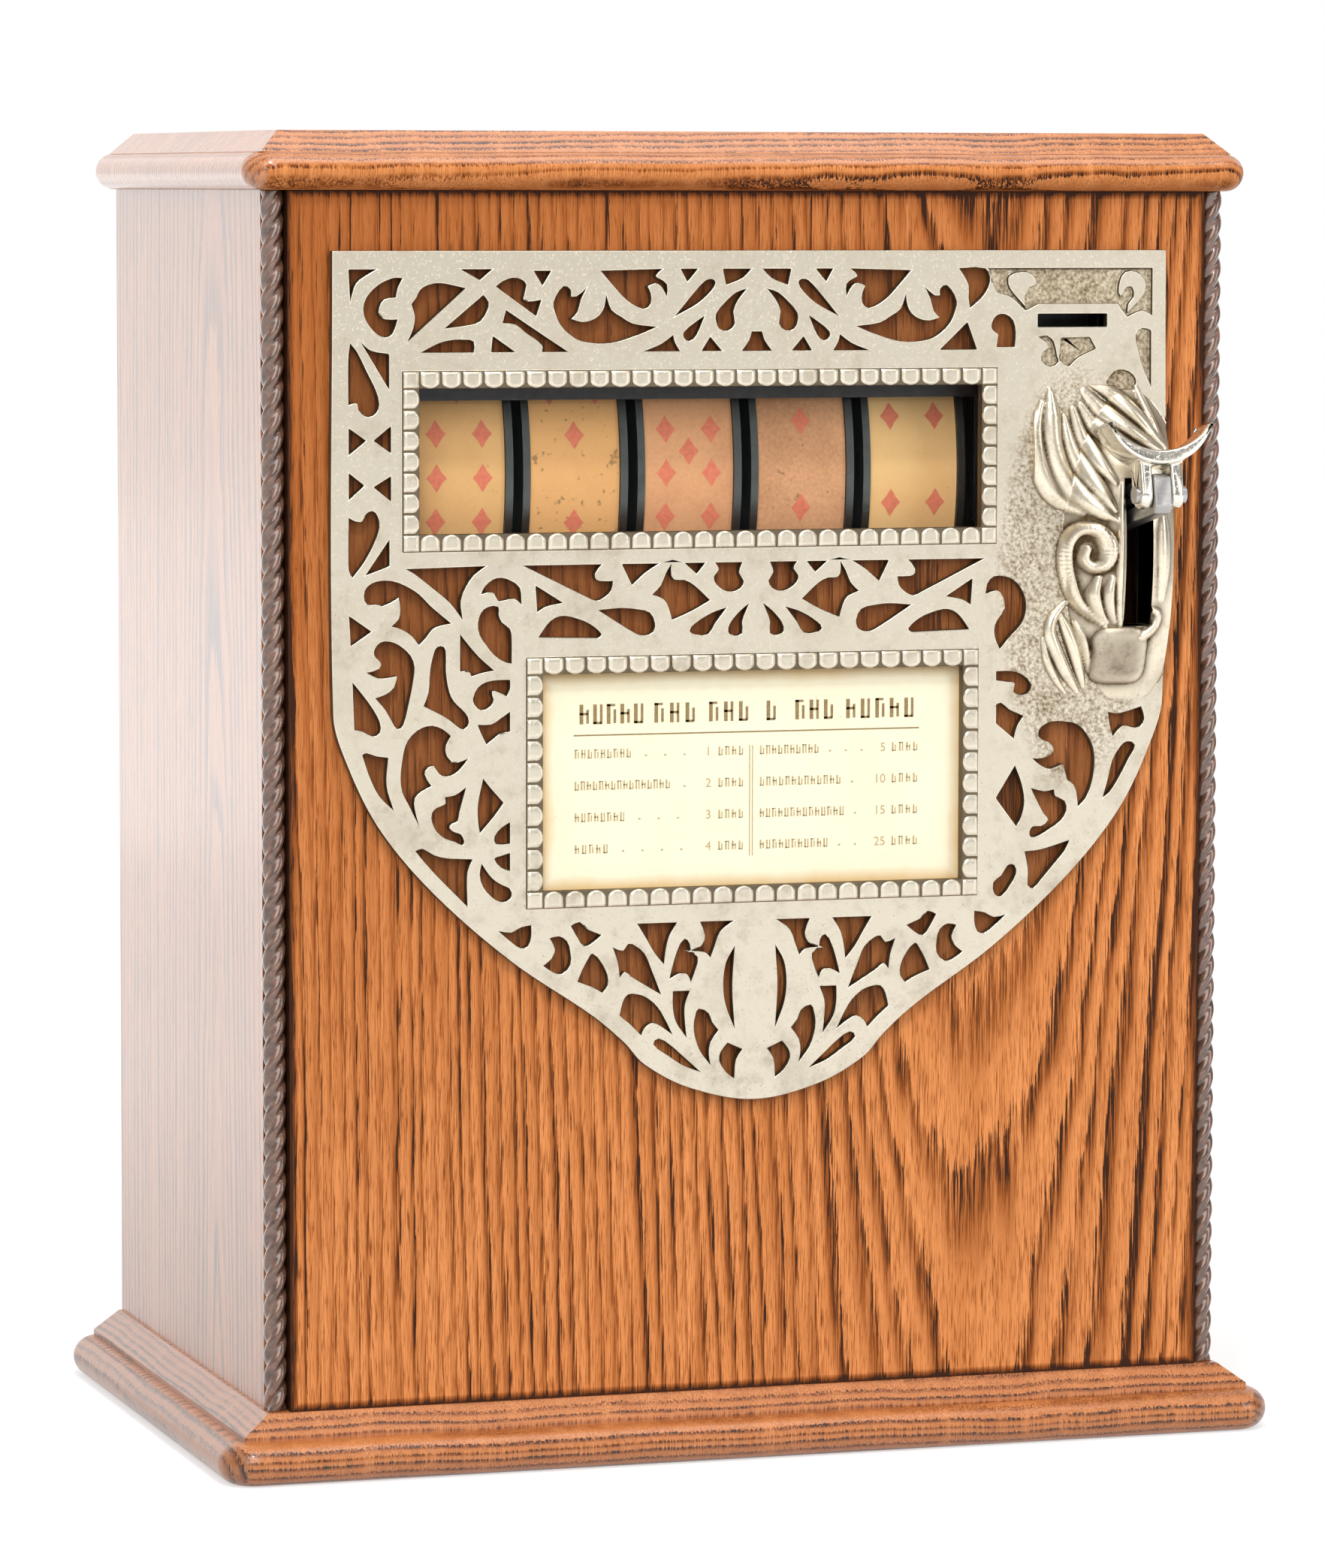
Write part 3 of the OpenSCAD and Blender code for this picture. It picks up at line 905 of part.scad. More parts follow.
// The finger rest is a crescent, the difference of two rounds, on a fork that straddles the blade
rest_in_r = (pow(rest_span / 2, 2) + pow(rest_rise, 2)) / (2 * rest_rise);
rest_out_rise = rest_rise + rest_thick;
rest_out_r = (pow(rest_span / 2, 2) + pow(rest_out_rise, 2)) / (2 * rest_out_rise);
prong_in = blade_t / 2 + prong_gap;
module across_rest(r, z, d) translate([0, -lever_len + d / 2, z]) rotate([90, 0, 0]) cylinder(h = d, r = r);
module finger_rest() color(nickel) in_case() on_lever() {
    difference() {
        across_rest(rest_out_r, rest_drop + rest_out_r, rest_d);
        across_rest(rest_in_r, rest_drop + rest_thick + rest_in_r, rest_d + 2);
    }
    for (x = [prong_in, -prong_in - prong_t]) difference() {
        union() {
            translate([x, -lever_len - prong_w / 2, 0]) cube([prong_t, prong_w, rest_drop + rest_thick - 0.3]);
            rod(x, prong_t, prong_w / 2, -lever_len, 0);
        }
        rod(x - 1, prong_t + 2, pin_r + 0.02, -lever_len, 0);
    }
}
module finger_rest_pin() color(steel) in_case() on_lever() {
    out = prong_in + prong_t;
    rod(-out, 2 * out, pin_r, -lever_len, 0);
    for (x = [-out - 1, out]) rod(x, x > 0 ? 1.6 : 1, pin_r + 1, -lever_len, 0);
}
module lever_shaft() color(steel) in_case()
    rod(frame_right_x - 0.4, half_inner - frame_right_x - 1, lever_shaft_r, lever_back, lever_z);
module lever_bracket() color(iron) in_case() difference() {
    union() {
        translate([half_inner - bracket_t, lever_back - bracket_w / 2, lever_z - bracket_h / 2])
            cube([bracket_t, bracket_w, bracket_h]);
        rod(half_inner - bracket_reach, bracket_reach, boss_lever_r, lever_back, lever_z);
    }
    rod(half_inner - bracket_reach - 1, bracket_reach, lever_shaft_r + run_gap, lever_back, lever_z);
}
// Return spring: a coil on the lever shaft
spring_x = drive_x + drive_t + 4;
spring_coil_r = lever_shaft_r + spring_room + spring_wire_r;
module lever_spring() color(steel) in_case() translate([spring_x, lever_back, lever_z]) {
    count = spring_turns * wire_rings;
    rings = [for (i = [0:count]) coil_ring(spring_coil_r, spring_pitch, spring_wire_r, i * 360 / wire_rings)];
    sides = [for (i = [0:count - 1], k = [0:wire_sides - 1]) let (a = i * wire_sides, b = (k + 1) % wire_sides)
        each [[a + k, a + wire_sides + k, a + b], [a + b, a + wire_sides + k, a + wire_sides + b]]];
    first = [for (k = [1:wire_sides - 2]) [0, k, k + 1]];
    end = count * wire_sides;
    last = [for (k = [1:wire_sides - 2]) [end, end + k + 1, end + k]];
    polyhedron([for (ring = rings) each ring], concat(sides, first, last));
}
echo(spring_gap = spring_pitch - 2 * spring_wire_r);

// Sector gear on the lever shaft, and the pinion, kicker and timer that it drives
sector_from = -122;
sector_to = -78;
module sector_gear() color(brass) in_case() translate([0, lever_back, lever_z]) difference() {
    pitch_a = 360 / sector_teeth;
    first = ceil((sector_from + 90) / pitch_a);
    last = floor((sector_to + 90) / pitch_a);
    web_r = drive_module * sector_teeth / 2 - 6;
    union() {
        along_x(drive_x, drive_t) polygon(concat([for (k = [first:last])
            each tooth(drive_module, sector_teeth, -90 + k * pitch_a)],
            [web_r * [cos(sector_to), sin(sector_to)], [7, -2], [-7, -2], web_r * [cos(sector_from), sin(sector_from)]]));
        rod(drive_x, drive_t, 9, 0, 0);
    }
    rod(drive_x - 1, drive_t + 2, lever_shaft_r + 0.02, 0, 0);
}
module kicker_shaft() color(steel) in_case()
    rod(timer_x - 1, drive_x + drive_t - timer_x + 2, lever_shaft_r, kick_y, kick_z);
module kicker_pinion() color(brass) in_case() translate([0, kick_y, kick_z]) difference() {
    along_x(drive_x, drive_t) polygon(gear_outline(drive_module, pinion_teeth, 90 + 180 / pinion_teeth));
    rod(drive_x - 1, drive_t + 2, lever_shaft_r + 0.02, 0, 0);
}
finger_at = 98;
module kick_fingers() color(steel) in_case() for (i = [1:5]) translate([reel_mid(i), kick_y, kick_z]) difference() {
    union() {
        rod(-8, 16, lever_shaft_r + 3, 0, 0);
        rotate([finger_at, 0, 0]) translate([-6, lever_shaft_r + 1, -0.6]) cube([12, finger_reach - lever_shaft_r - 1, 1.2]);
    }
    rod(-9, 18, lever_shaft_r + 0.02, 0, 0);
}
module timer_gear() color(brass) in_case() translate([0, kick_y, kick_z]) difference() {
    along_x(timer_x, timer_t) polygon(gear_outline(timer_module, timer_teeth, 0));
    rod(timer_x - 1, timer_t + 2, lever_shaft_r + 0.02, 0, 0);
    for (k = [0:4]) rotate([k * 72, 0, 0]) rod(timer_x - 1, timer_t + 2, 3.5, 11.5, 0);
}
module fan_arbor() color(steel) in_case() translate([0, fan_y, kick_z]) {
    rod(cock_x - 0.5, frame_left_x + frame_t - cock_x + 1, fan_r, 0, 0);
    along_x(timer_x, timer_t) polygon(gear_outline(timer_module, fan_teeth, 180 + 180 / fan_teeth));
}
module fan_vane() color(brass) in_case() translate([0, fan_y, kick_z]) difference() {
    union() {
        translate([fan_x, -fan_span, -0.5]) cube([fan_w, 2 * fan_span, 1]);
        rod(fan_x, fan_w, fan_r + 1.5, 0, 0);
    }
    rod(fan_x - 1, fan_w + 2, fan_r + 0.02, 0, 0);
}
module fan_cock() color(brass) in_case() difference() {
    along_x(cock_x, cock_t) translate([fan_y, shelf_z])
        polygon([[-12, 0], [12, 0], [12, 4], [7, 8], [7, kick_z - shelf_z + 6], [-7, kick_z - shelf_z + 6], [-7, 8], [-12, 4]]);
    rod(cock_x - 1, cock_t + 2, fan_r + run_gap, fan_y, kick_z);
}

// Coin chute: an upright channel behind the coin slot that bends back over the cash box
module chute_shape(wall) polygon([[panel_t + wall, chute_top - wall], [panel_t + wall, chute_bend],
    [panel_t + wall + chute_shift, wall > 0 ? chute_low - 5 : chute_low],
    [panel_t + chute_in_d + 2 * chute_wall - wall + chute_shift, wall > 0 ? chute_low - 5 : chute_low],
    [panel_t + chute_in_d + 2 * chute_wall - wall, chute_bend],
    [panel_t + chute_in_d + 2 * chute_wall - wall, chute_top - wall]]);
module coin_chute() color(tin) in_case() difference() {
    x = plate_x + coin_x - chute_in_w / 2;
    along_x(x - chute_wall, chute_in_w + 2 * chute_wall) chute_shape(0);
    along_x(x, chute_in_w) chute_shape(chute_wall);
    translate([x, panel_t - 1, plate_z + coin_z - 5]) cube([chute_in_w, 3, 10]);
}
module cash_box() color(tin) in_case() difference() {
    w = 2 * half_inner - 2 * cash_gap - 20;
    d = door_y - panel_t - 2 * cash_gap;
    translate([-w / 2, panel_t + cash_gap, 0]) cube([w, d, cash_h]);
    translate([-w / 2 + cash_wall, panel_t + cash_gap + cash_wall, cash_wall])
        cube([w - 2 * cash_wall, d - 2 * cash_wall, cash_h]);
}

base_plinth();
side_left();
side_right();
front_panel();
top_board();
rope_moulding_left();
rope_moulding_right();
mech_shelf();
shelf_cleats();
front_casting();
casting_screws();
reel_window_glass();
glass_beads();
award_card();
back_door();
hinge_leaves_case();
hinge_leaves_door();
hinge_pins();
lock_barrel();
lock_cam();
frame_left();
frame_right();
tie_rods();
reel_shaft();
shaft_nuts();
reel_collars();
reel_drum(1);  // reel_drum_1
reel_drum(2);  // reel_drum_2
reel_drum(3);  // reel_drum_3
reel_drum(4);  // reel_drum_4
reel_drum(5);  // reel_drum_5
reel_strip(1);  // reel_strip_1
reel_strip(2);  // reel_strip_2
reel_strip(3);  // reel_strip_3
reel_strip(4);  // reel_strip_4
reel_strip(5);  // reel_strip_5
stop_rod();
stop_pawl(1);  // stop_pawl_1
stop_pawl(2);  // stop_pawl_2
stop_pawl(3);  // stop_pawl_3
stop_pawl(4);  // stop_pawl_4
stop_pawl(5);  // stop_pawl_5
lever_arm();
finger_rest();
finger_rest_pin();
lever_shaft();
sector_gear();
lever_bracket();
lever_spring();
kicker_shaft();
kicker_pinion();
kick_fingers();
timer_gear();
fan_arbor();
fan_vane();
fan_cock();
coin_chute();
cash_box();
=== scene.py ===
# %% [markdown]
# # A counter-top trade stimulator
# An oak case carries a pierced nickel casting, and behind the casting's window five paper-covered
# reels turn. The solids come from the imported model, and this lesson dresses them: it gives every
# board, casting and reel its finish, and adds the carving that plain solids leave out.

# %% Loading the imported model
import math

import bpy
import bmesh
import numpy as np
from mathutils import Euler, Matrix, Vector


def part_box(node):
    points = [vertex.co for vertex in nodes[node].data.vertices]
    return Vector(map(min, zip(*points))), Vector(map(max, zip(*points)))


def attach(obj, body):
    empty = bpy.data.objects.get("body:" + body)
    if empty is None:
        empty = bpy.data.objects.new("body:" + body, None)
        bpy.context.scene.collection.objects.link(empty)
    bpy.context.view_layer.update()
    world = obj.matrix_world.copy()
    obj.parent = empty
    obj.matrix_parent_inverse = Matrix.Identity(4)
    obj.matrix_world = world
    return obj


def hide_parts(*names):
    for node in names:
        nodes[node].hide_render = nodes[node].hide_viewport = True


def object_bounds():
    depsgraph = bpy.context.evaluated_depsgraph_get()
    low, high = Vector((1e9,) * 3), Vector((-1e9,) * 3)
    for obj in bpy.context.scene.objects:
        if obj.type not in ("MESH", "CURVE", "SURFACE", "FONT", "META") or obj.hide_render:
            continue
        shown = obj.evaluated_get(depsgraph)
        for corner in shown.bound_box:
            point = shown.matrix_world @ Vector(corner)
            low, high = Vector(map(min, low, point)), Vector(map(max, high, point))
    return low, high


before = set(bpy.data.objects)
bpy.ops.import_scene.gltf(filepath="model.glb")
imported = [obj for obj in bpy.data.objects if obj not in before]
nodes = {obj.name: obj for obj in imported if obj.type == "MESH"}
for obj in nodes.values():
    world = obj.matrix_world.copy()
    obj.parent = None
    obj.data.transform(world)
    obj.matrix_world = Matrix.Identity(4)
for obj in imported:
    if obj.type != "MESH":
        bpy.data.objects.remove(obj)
cad_low, cad_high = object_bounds()

# %% [markdown]
# All lengths below are read in millimetres from the foot of the front panel's face: x to the right,
# y to the back and z up. The model stands on the middle of its base, so one shift turns these
# lengths into Blender's metres. The shift is measured on the panel itself.

# %% From the case's millimetres to metres
MM = 0.001
panel_low, panel_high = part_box("front_panel")
SHIFT = np.array([(panel_low.x + panel_high.x) / 2, panel_low.y, panel_low.z])


def place(x, y, z):
    """Case millimetres to metres: point = shift + 0.001 * (x, y, z), for whole arrays."""
    pts = np.stack(np.broadcast_arrays(x, y, z), axis=-1).astype(float)
    return pts * MM + SHIFT


print("panel foot stands at", np.round(SHIFT, 4))

# %% [markdown]
# The camera stands a little to the left of the machine and slightly above its middle, on a long
# lens, as the picture was taken. A long lens keeps the verticals nearly parallel.

# %% Camera
CAMERA_AT = (-631.7, -1898.1, 358.4)
LOOKS_DOWN, LEANS, LOOKS_RIGHT = 5.06, -0.11, 17.62
SENSOR_WIDTH, LENS, FARTHEST = 36, 155.15, 50


def into_scene(obj):
    bpy.context.scene.collection.objects.link(obj)
    return obj


camera = into_scene(bpy.data.objects.new("camera", bpy.data.cameras.new("camera")))
camera.location = Vector(place(*CAMERA_AT))
camera.rotation_euler = Euler([math.radians(a) for a in (90 - LOOKS_DOWN, LEANS, -LOOKS_RIGHT)], "XYZ")
camera.data.sensor_width = SENSOR_WIDTH
camera.data.lens = LENS
camera.data.clip_end = FARTHEST
bpy.context.scene.camera = camera
bpy.context.scene.view_settings.view_transform = "Standard"
print("camera", tuple(round(v, 3) for v in camera.location))

# %% [markdown]
# Finishes are built from shader nodes. Wiring Math nodes one by one is slow to read, so a field
# stands for a number that varies over a surface: a sum or a product of fields adds the node that
# works it out. A finish then reads like the formula that it is.

# %% Fields


def feed(mat, socket, val):
    """Links a field or a node's output to an input, or sets a plain value on it."""
    if isinstance(val, Field):
        val = val.socket
    if isinstance(val, bpy.types.NodeSocket):
        mat.node_tree.links.new(val, socket)
    else:
        socket.default_value = val


def add(mat, kind, values=None, **props):
    """Adds a node of one kind; values go to its inputs by name or number, and fields are linked."""
    node = mat.node_tree.nodes.new("ShaderNode" + kind)
    for key, val in props.items():
        setattr(node, key, val)
    for key, val in (values or {}).items():
        feed(mat, node.inputs[key], val)
    return node


def math_node(mat, operation, a, b=0.0):
    return Field(mat, add(mat, "Math", {0: a, 1: b}, operation=operation).outputs[0])


class Field:
    """A node's output as a number; arithmetic on it adds Math nodes to the same material."""

    def __init__(self, mat, socket):
        self.mat = mat
        self.socket = socket

    def __add__(self, other):
        return math_node(self.mat, "ADD", self, other)

    def __sub__(self, other):
        return math_node(self.mat, "SUBTRACT", self, other)

    def __rsub__(self, other):
        return math_node(self.mat, "SUBTRACT", other, self)

    def __mul__(self, other):
        return math_node(self.mat, "MULTIPLY", self, other)

    def __truediv__(self, other):
        return math_node(self.mat, "DIVIDE", self, other)

    def least(self, other):
        return math_node(self.mat, "MINIMUM", self, other)

    def most(self, other):
        return math_node(self.mat, "MAXIMUM", self, other)

    def clip(self):
        """Holds the result of the last sum or product between 0 and 1, on its own Math node."""
        self.socket.node.use_clamp = True
        return self


print("fields ready")

# %% [markdown]
# A few recipes come back in every finish: a new material, the place on the surface in millimetres,
# a noise, a mix of two colours, and a bump from a height. Object coordinates tie each pattern to its
# piece, so that it rides along when the piece moves.

# %% Recipes for finishes


def material(name, **values):
    """A new material with one Principled shader, whose plain values are set by socket name."""
    mat = bpy.data.materials.new(name)
    mat.use_nodes = True
    shader = mat.node_tree.nodes["Principled BSDF"]
    for key, val in values.items():
        shader.inputs[key.replace("_", " ")].default_value = val
    return mat, shader


def object_mm(mat, scale=(1, 1, 1), turn=(0, 0, 0), shift=(0, 0, 0)):
    """Object coordinates in millimetres, scaled, turned and shifted by a Mapping node."""
    coords = add(mat, "TexCoord")
    mapping = add(mat, "Mapping", {"Vector": coords.outputs["Object"]})
    mapping.inputs["Scale"].default_value = [s / MM for s in scale]
    mapping.inputs["Rotation"].default_value = [math.radians(a) for a in turn]
    mapping.inputs["Location"].default_value = shift
    return mapping.outputs[0]


def axes(mat, vector):
    """The x, y and z of a vector, as three fields."""
    return [Field(mat, out) for out in add(mat, "SeparateXYZ", {0: vector}).outputs]


def noise(mat, vector, scale, detail=2.0, rough=0.5):
    values = {"Vector": vector, "Scale": scale, "Detail": detail, "Roughness": rough}
    return Field(mat, add(mat, "TexNoise", values).outputs["Fac"])


def mix(mat, fac, a, b):
    """A colour that goes from a to b as fac goes from 0 to 1."""
    node = add(mat, "Mix", {0: fac}, data_type="RGBA")
    for key, colour in ((6, a), (7, b)):
        feed(mat, node.inputs[key], colour if isinstance(colour, bpy.types.NodeSocket) else (*colour, 1))
    return node.outputs[2]


def bump(mat, shader, height, strength, distance):
    node = add(mat, "Bump", {"Height": height, "Strength": strength, "Distance": distance})
    feed(mat, shader.inputs["Normal"], node.outputs[0])


def edge_distance(x, z, box):
    """Millimetres to the nearest edge of a board or card: min(x - left, right - x, z - low, high - z)."""
    left, right, low, high = box
    return (x - left).least(right - x).least(z - low).least(high - z)


def mottled(name, scale, detail, stops, **values):
    """A finish whose colour wanders with one noise between two (level, colour) stops."""
    mat, shader = material(name, **values)
    node = add(mat, "ValToRGB", {"Fac": noise(mat, object_mm(mat), scale, detail)})
    for mark, (level, colour) in zip(node.color_ramp.elements, stops):
        mark.position = level
        mark.color = (*colour, 1)
    feed(mat, shader.inputs["Base Color"], node.outputs["Color"])
    return mat


print("recipes ready")

# %% [markdown]
# Oak shows two things: growth rings, which a flat-sawn board cuts into long nested arches, and open
# pores, which fill with dark stain as short streaks along the grain. A board is cut some way off the
# tree's heart, so a ring is where across * across + depth * depth is constant: its lines lie close
# together far from the heart and spread into arches over it. A wave texture would draw even
# stripes, so the rings are worked out from the tree instead.

# %% Rings and pores


def year_rings(mat, grain, heart, depth, width, wander, slope):
    """Year = sqrt((x - heart)^2 + (y + depth + slope z)^2) / width, with slow noise on each term."""
    x, y, z = axes(mat, grain(1, 1))
    slow = grain(0.020, 0.0045)
    across = x - heart + (noise(mat, slow, 1) - 0.5) * wander[0]
    deepness = z * slope + ((noise(mat, slow, 1.7) - 0.5) * wander[1] + (y + depth))
    years = math_node(mat, "SQRT", across * across + deepness * deepness) / width
    # Good and poor years: a slow noise along the radius spreads and crowds the rings
    return years + noise(mat, years * 0.13, 1) * 2.6


def ring_stain(mat, years, streak, weight):
    """Stain = early wood * weight * the year's own darkness * pores, on the first half of every year."""
    # Streaks fray the edges of the rings
    frayed = years + streak * 0.75
    early = ((0.56 - math_node(mat, "FRACT", frayed)) * 2.9).clip()
    count = math_node(mat, "FLOOR", frayed)
    own = Field(mat, add(mat, "TexWhiteNoise", {"W": count}, noise_dimensions="1D").outputs["Value"])
    pore = ((streak - 0.44) * 5.5).clip()
    return early * weight * (own * 0.75 + 0.45) * (pore * 0.85 + 0.42), pore


def behind_casting(mat, x, y, z, low, face):
    """1 on the panel's front behind the casting, 0 elsewhere: a tapered shape, soft over its edges."""
    half_width, tip, top, skin = 129, low + 85, low + 338, face + 3
    aside = math_node(mat, "ABSOLUTE", x)
    foot = aside * 0.62 + math_node(mat, "POWER", aside / 115, 8) * 16
    inside = ((z - (foot + tip)) / 5).least((half_width - aside) / 3).least((top - z) / 3)
    return inside.least(skin - y).most(0.0).clip()


print("rings and pores ready")

# %% [markdown]
# The varnish over the oak is old. Along the front panel's edges dirt and painted shade from the
# joints darken it, painted shade under the top board darkens its upper part, it is darker towards its
# left too, and the wood behind the piercings is darkened by dirt and painted shade from the casting.
# Only the panel gets these marks, through its box. On every board a thin stain deepens the wood to
# amber, and a full one takes it to near black.

# %% Oak finish
OAK_TONES = [(0.86, 0.338, 0.116), (0.60, 0.194, 0.048), (0.32, 0.087, 0.016), (0.04, 0.013, 0.005)]
DIRT_AND_CASTING_SHADE = (0.10, 0.036, 0.012)
DIRT_AND_SHADE_WIDTH = 2.6


def oak(name, turn, heart, depth, width, shift=(0, 0, 0), wander=(4.0, 7.0), slope=0.05,
        shine=0.12, coat=0.0, shade=1.0, wear_and_shade=None):
    """Varnished oak, its grain along z after the turn; the last argument, the front panel's box and its face,
    gives that panel its dirt, painted shade and extra stain.
    """
    light, deep, amber, dark = (np.array(OAK_TONES) * shade).tolist()
    mat, shader = material(name, Roughness=0.36, Specular_IOR_Level=shine, Coat_Weight=coat,
                           Coat_Roughness=0.16, Coat_IOR=1.6)

    def grain(across, along):
        """Millimetres, scaled before they are turned, so a noise's streaks stand upright on any board."""
        return object_mm(mat, scale=(across, across, along), turn=turn, shift=shift)

    x, y, z = axes(mat, grain(1, 1))
    bands = noise(mat, grain(0.16, 0.008), 1, 3, 0.6)
    weight = ((bands - 0.16) * 2.5).clip()
    if wear_and_shade:
        # The wide arches at the right were cut flat and drank more stain
        weight = weight * (((x + 20) / 160).clip() * 0.6 + 1.0)
    # Upright streaks about 0.5 mm wide and 15 mm long
    streak = noise(mat, grain(2.1, 0.065), 1, 3, 0.6)
    years = year_rings(mat, grain, heart, depth, width, wander, slope)
    line, pore = ring_stain(mat, years, streak, weight)
    # Short pores lie between the rings too
    short = ((noise(mat, grain(2.8, 0.14), 1, 2, 0.6) - 0.5) * 4.0).clip()
    line = line.most(short * (0.58 if wear_and_shade else 0.36))
    stain = (line + pore * 0.20).clip()
    tone = mix(mat, (1.35 - bands * 1.5).clip(), deep, light)
    if wear_and_shade:
        # Dirt and painted shade: darker within a few millimetres of the panel's edges, where its joints shade
        # it
        dirt_and_shade = (1.0 - edge_distance(x, z, wear_and_shade[:4]) / DIRT_AND_SHADE_WIDTH).clip()
        stain = (stain + dirt_and_shade).clip()
        # Painted shade: darker towards the top, under the top board, and darker towards the left
        top_shade_and_left = (z - 90) / 520 + (-20 - x) / 600
        tone = mix(mat, top_shade_and_left.most(0.0).clip(), tone, amber)
    tone = mix(mat, (stain * 2.0).clip(), tone, amber)
    tone = mix(mat, ((stain - 0.5) * 2.0).clip(), tone, dark)
    if wear_and_shade:
        # Dirt and painted shade: darkens the wood behind the casting, seen through its piercings, and a thin
        # fringe round the plate
        tone = mix(mat, behind_casting(mat, x, y, z, wear_and_shade[2], wear_and_shade[4]) * 0.62, tone, DIRT_AND_CASTING_SHADE)
    feed(mat, shader.inputs["Base Color"], tone)
    bump(mat, shader, 1.0 - stain, 0.15, 0.0004)
    return mat


print("oak tones:", len(OAK_TONES))

# %% [markdown]
# Each board runs its own way: upright on the panel, the sides and the door, across on the top and
# the base. The glossier boards have a coat of varnish left, which mirrors the room.

# %% Oak boards
panel_box = [v / MM for v in (panel_low.x, panel_high.x, panel_low.z, panel_high.z, panel_low.y)]
oak_front = oak("oak_front", (0, 0, 0), 74, 170, 3.7, wander=(7.0, 9.0), slope=-0.06, wear_and_shade=panel_box)
oak_side = oak("oak_side", (0, 0, 90), 70, 150, 4.4, shift=(40, 0, 0), wander=(10, 14), slope=0.07,
               shine=0.5, coat=0.8, shade=0.74)
lying = {"turn": (0, 90, 0), "heart": 320, "depth": 160, "width": 2.4, "wander": (3, 5), "slope": 0.02}
oak_long = oak("oak_long", **lying, shine=0.4, coat=0.4, shade=0.80)
oak_face = oak("oak_face", **lying, shine=0.12, shade=0.88)
oak_end = oak("oak_end", **lying, shine=0.4, coat=0.8, shade=0.80)
oak_return = oak("oak_return", (90, 0, 0), 250, 190, 2.6, wander=(3, 5), slope=0.02,
                 shine=0.4, coat=0.5, shade=0.55)
oak_door = oak("oak_door", (0, 0, 0), -20, 40, 2.6, shift=(90, 30, 200))
print("oak finishes:", len(bpy.data.materials))

# %% [markdown]
# The casting is iron plated with nickel. Plate that old is warm grey, dull on flat ground and
# bright on ridges that hands have rubbed, with brown pits where it has gone, and the carving's
# creases are darkened with dirt and painted shade. One recipe serves all metals of the machine: the
# finger rest is more polished, and brass, steel and tin sit inside.

# %% Metal finishes


def plated(name, colour, dirt_and_shade, rough, pits, dull=0.5, ground=None, crease_dirt_and_shade=False):
    """Worn plate: noises spread a brown film, clouds and pin-prick pits over a metallic base."""
    mat, shader = material(name, Metallic=1.0)
    p = object_mm(mat)
    film = ((noise(mat, p, 0.05, 5, 0.62) - dull) * 3.2).clip()
    pit = ((noise(mat, p, 1.3, 3, 0.7) - 0.60) * 9.0).clip()
    cloud = ((noise(mat, p, 0.2, 4, 0.65) - 0.5) * 0.9).clip()
    amount = (film * 0.35 + cloud).clip()
    rise = pit * -1.0
    if ground:
        # Sand-rough ground inside an ellipse given by its middle and half axes
        middle_x, middle_z, half_x, half_z = ground
        x, _, z = axes(mat, p)
        off_x = (x - middle_x) / half_x
        off_z = (z - middle_z) / half_z
        inside = ((1.15 - (off_x * off_x + off_z * off_z)) * 3.0).clip()
        grit = ((noise(mat, p, 0.95, 3, 0.6) - 0.36) * 3.0).clip() * inside
        amount = (amount + grit * 0.85).clip()
        rise = rise - grit * 2.0
    # Dirt and painted shade in the carving's creases and on its shield, read from the mesh's crease map
    if crease_dirt_and_shade:
        hollow = Field(mat, add(mat, "Attribute", attribute_name="crease_dirt_and_shade").outputs["Fac"])
        amount = (amount + hollow * 0.95).clip()
    wear_and_shade = mix(mat, amount, colour, dirt_and_shade)
    feed(mat, shader.inputs["Base Color"], mix(mat, pit * pits, wear_and_shade, dirt_and_shade))
    feed(mat, shader.inputs["Roughness"], amount * 0.30 + rough)
    bump(mat, shader, rise, 0.25, 0.0003)
    return mat


nickel_flat = plated("nickel_flat", (0.68, 0.62, 0.505), (0.20, 0.135, 0.07), 0.36, 0.5,
                     ground=(100, 262, 24, 62))
nickel_ground = plated("nickel_ground", (0.60, 0.53, 0.40), (0.24, 0.175, 0.10), 0.5, 0.9, 0.42,
                       ground=(100, 300, 300, 300))
# Painted shade: the near-black finish of the piercings' walls and of the band between the tongues
nickel_wall_shade = plated("nickel_wall_shade", (0.17, 0.135, 0.09), (0.07, 0.05, 0.03), 0.5, 0.5, 0.4)
nickel_carved = plated("nickel_carved", (0.74, 0.66, 0.52), (0.085, 0.052, 0.022), 0.29, 0.45, 0.52,
                       crease_dirt_and_shade=True)
nickel_polished = plated("nickel_polished", (0.76, 0.72, 0.64), (0.36, 0.30, 0.22), 0.19, 0.2, 0.56)
iron_grey = plated("iron_grey", (0.42, 0.41, 0.40), (0.20, 0.16, 0.12), 0.38, 0.5)
steel_dull = plated("steel_dull", (0.47, 0.47, 0.48), (0.22, 0.18, 0.14), 0.34, 0.3)
brass_old = plated("brass_old", (0.62, 0.44, 0.18), (0.26, 0.17, 0.07), 0.32, 0.4)
tin_grey = plated("tin_grey", (0.50, 0.50, 0.51), (0.26, 0.23, 0.20), 0.42, 0.3)
tin_dark = plated("tin_dark", (0.09, 0.09, 0.095), (0.05, 0.045, 0.04), 0.5, 0.3)
reel_tin = plated("reel_tin", (0.105, 0.115, 0.108), (0.02, 0.02, 0.02), 0.38, 0.3)
print("finishes with the metals:", len(bpy.data.materials))

# %% [markdown]
# Two finishes are nearly black: the japanned iron of the frames, and the stained and polished wood
# of the rope mouldings, whose hard coat gives each strand its small highlight. The iron's black
# also covers the glass beads, whose lip along the top of the reel window is a painted shadow.

